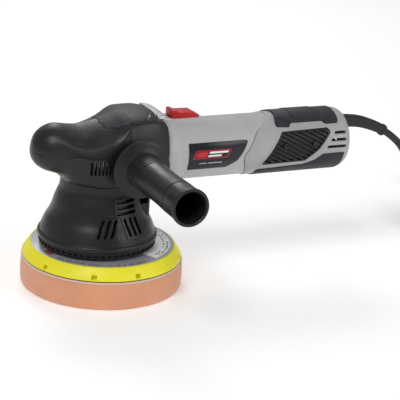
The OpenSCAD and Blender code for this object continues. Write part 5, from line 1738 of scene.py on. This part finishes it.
class POLISHER_OT_head(PieceOperator, bpy.types.Operator):
    """Makes the upper and lower head covers and the soft patch"""

    bl_idname = "polisher.head"
    bl_label = "Head covers"
    builders = (make_upper_cover, make_patch, make_lower_cover, make_strip)


class POLISHER_OT_body(PieceOperator, bpy.types.Operator):
    """Makes the motor housing and the rear cover"""

    bl_idname = "polisher.body"
    bl_label = "Body"
    builders = (make_motor_housing, make_rear_cover)


class POLISHER_OT_panels(PieceOperator, bpy.types.Operator):
    """Makes the plates, rubber panels, grilles and screws on the body"""

    bl_idname = "polisher.panels"
    bl_label = "Panels and grilles"
    builders = (make_top_grip, make_side_panels, make_grilles, make_screws)


class POLISHER_OT_controls(PieceOperator, bpy.types.Operator):
    """Makes the slider switch and the speed dial"""

    bl_idname = "polisher.controls"
    bl_label = "Controls"
    builders = (make_slider, make_dial)


class POLISHER_OT_handle(PieceOperator, bpy.types.Operator):
    """Makes the side handle"""

    bl_idname = "polisher.handle"
    bl_label = "Side handle"
    builders = (make_handle,)


class POLISHER_OT_carry_over(bpy.types.Operator):
    """Gives the CAD pieces that stay their finishes"""

    bl_idname = "polisher.carry_over"
    bl_label = "Finishes of inner pieces"

    def execute(self, context):
        carry_over()
        return {"FINISHED"}


OPERATORS = [
    POLISHER_OT_stage, POLISHER_OT_cord, POLISHER_OT_foam, POLISHER_OT_pad_layers,
    POLISHER_OT_backing_plate, POLISHER_OT_shroud, POLISHER_OT_head, POLISHER_OT_body,
    POLISHER_OT_panels, POLISHER_OT_controls, POLISHER_OT_handle, POLISHER_OT_carry_over]


class POLISHER_PT_panel(bpy.types.Panel):
    """Sidebar panel with one button per group of pieces"""

    bl_idname = "POLISHER_PT_panel"
    bl_label = "Dual action polisher"
    bl_space_type = "VIEW_3D"
    bl_region_type = "UI"
    bl_category = "Polisher"

    def draw(self, context):
        for values in (context.scene.polisher_sizes, context.scene.polisher_colours):
            box = self.layout.box()
            for key in values.bl_rna.properties.keys():
                if key not in ("rna_type", "name"):
                    box.prop(values, key)
        for operator in OPERATORS:
            self.layout.operator(operator.bl_idname)


CLASSES = [PolisherSizes, PolisherColours, *OPERATORS, POLISHER_PT_panel]


def register():
    for cls in CLASSES:
        bpy.utils.register_class(cls)
    bpy.types.Scene.polisher_sizes = PointerProperty(type=PolisherSizes)
    bpy.types.Scene.polisher_colours = PointerProperty(type=PolisherColours)


def unregister():
    del bpy.types.Scene.polisher_colours
    del bpy.types.Scene.polisher_sizes
    for cls in reversed(CLASSES):
        bpy.utils.unregister_class(cls)


def main():
    register()
    for operator in OPERATORS:
        group, name = operator.bl_idname.split(".")
        if getattr(getattr(bpy.ops, group), name)() != {"FINISHED"}:
            raise RuntimeError(operator.bl_idname + " did not finish")


if __name__ == "__main__":
    main()
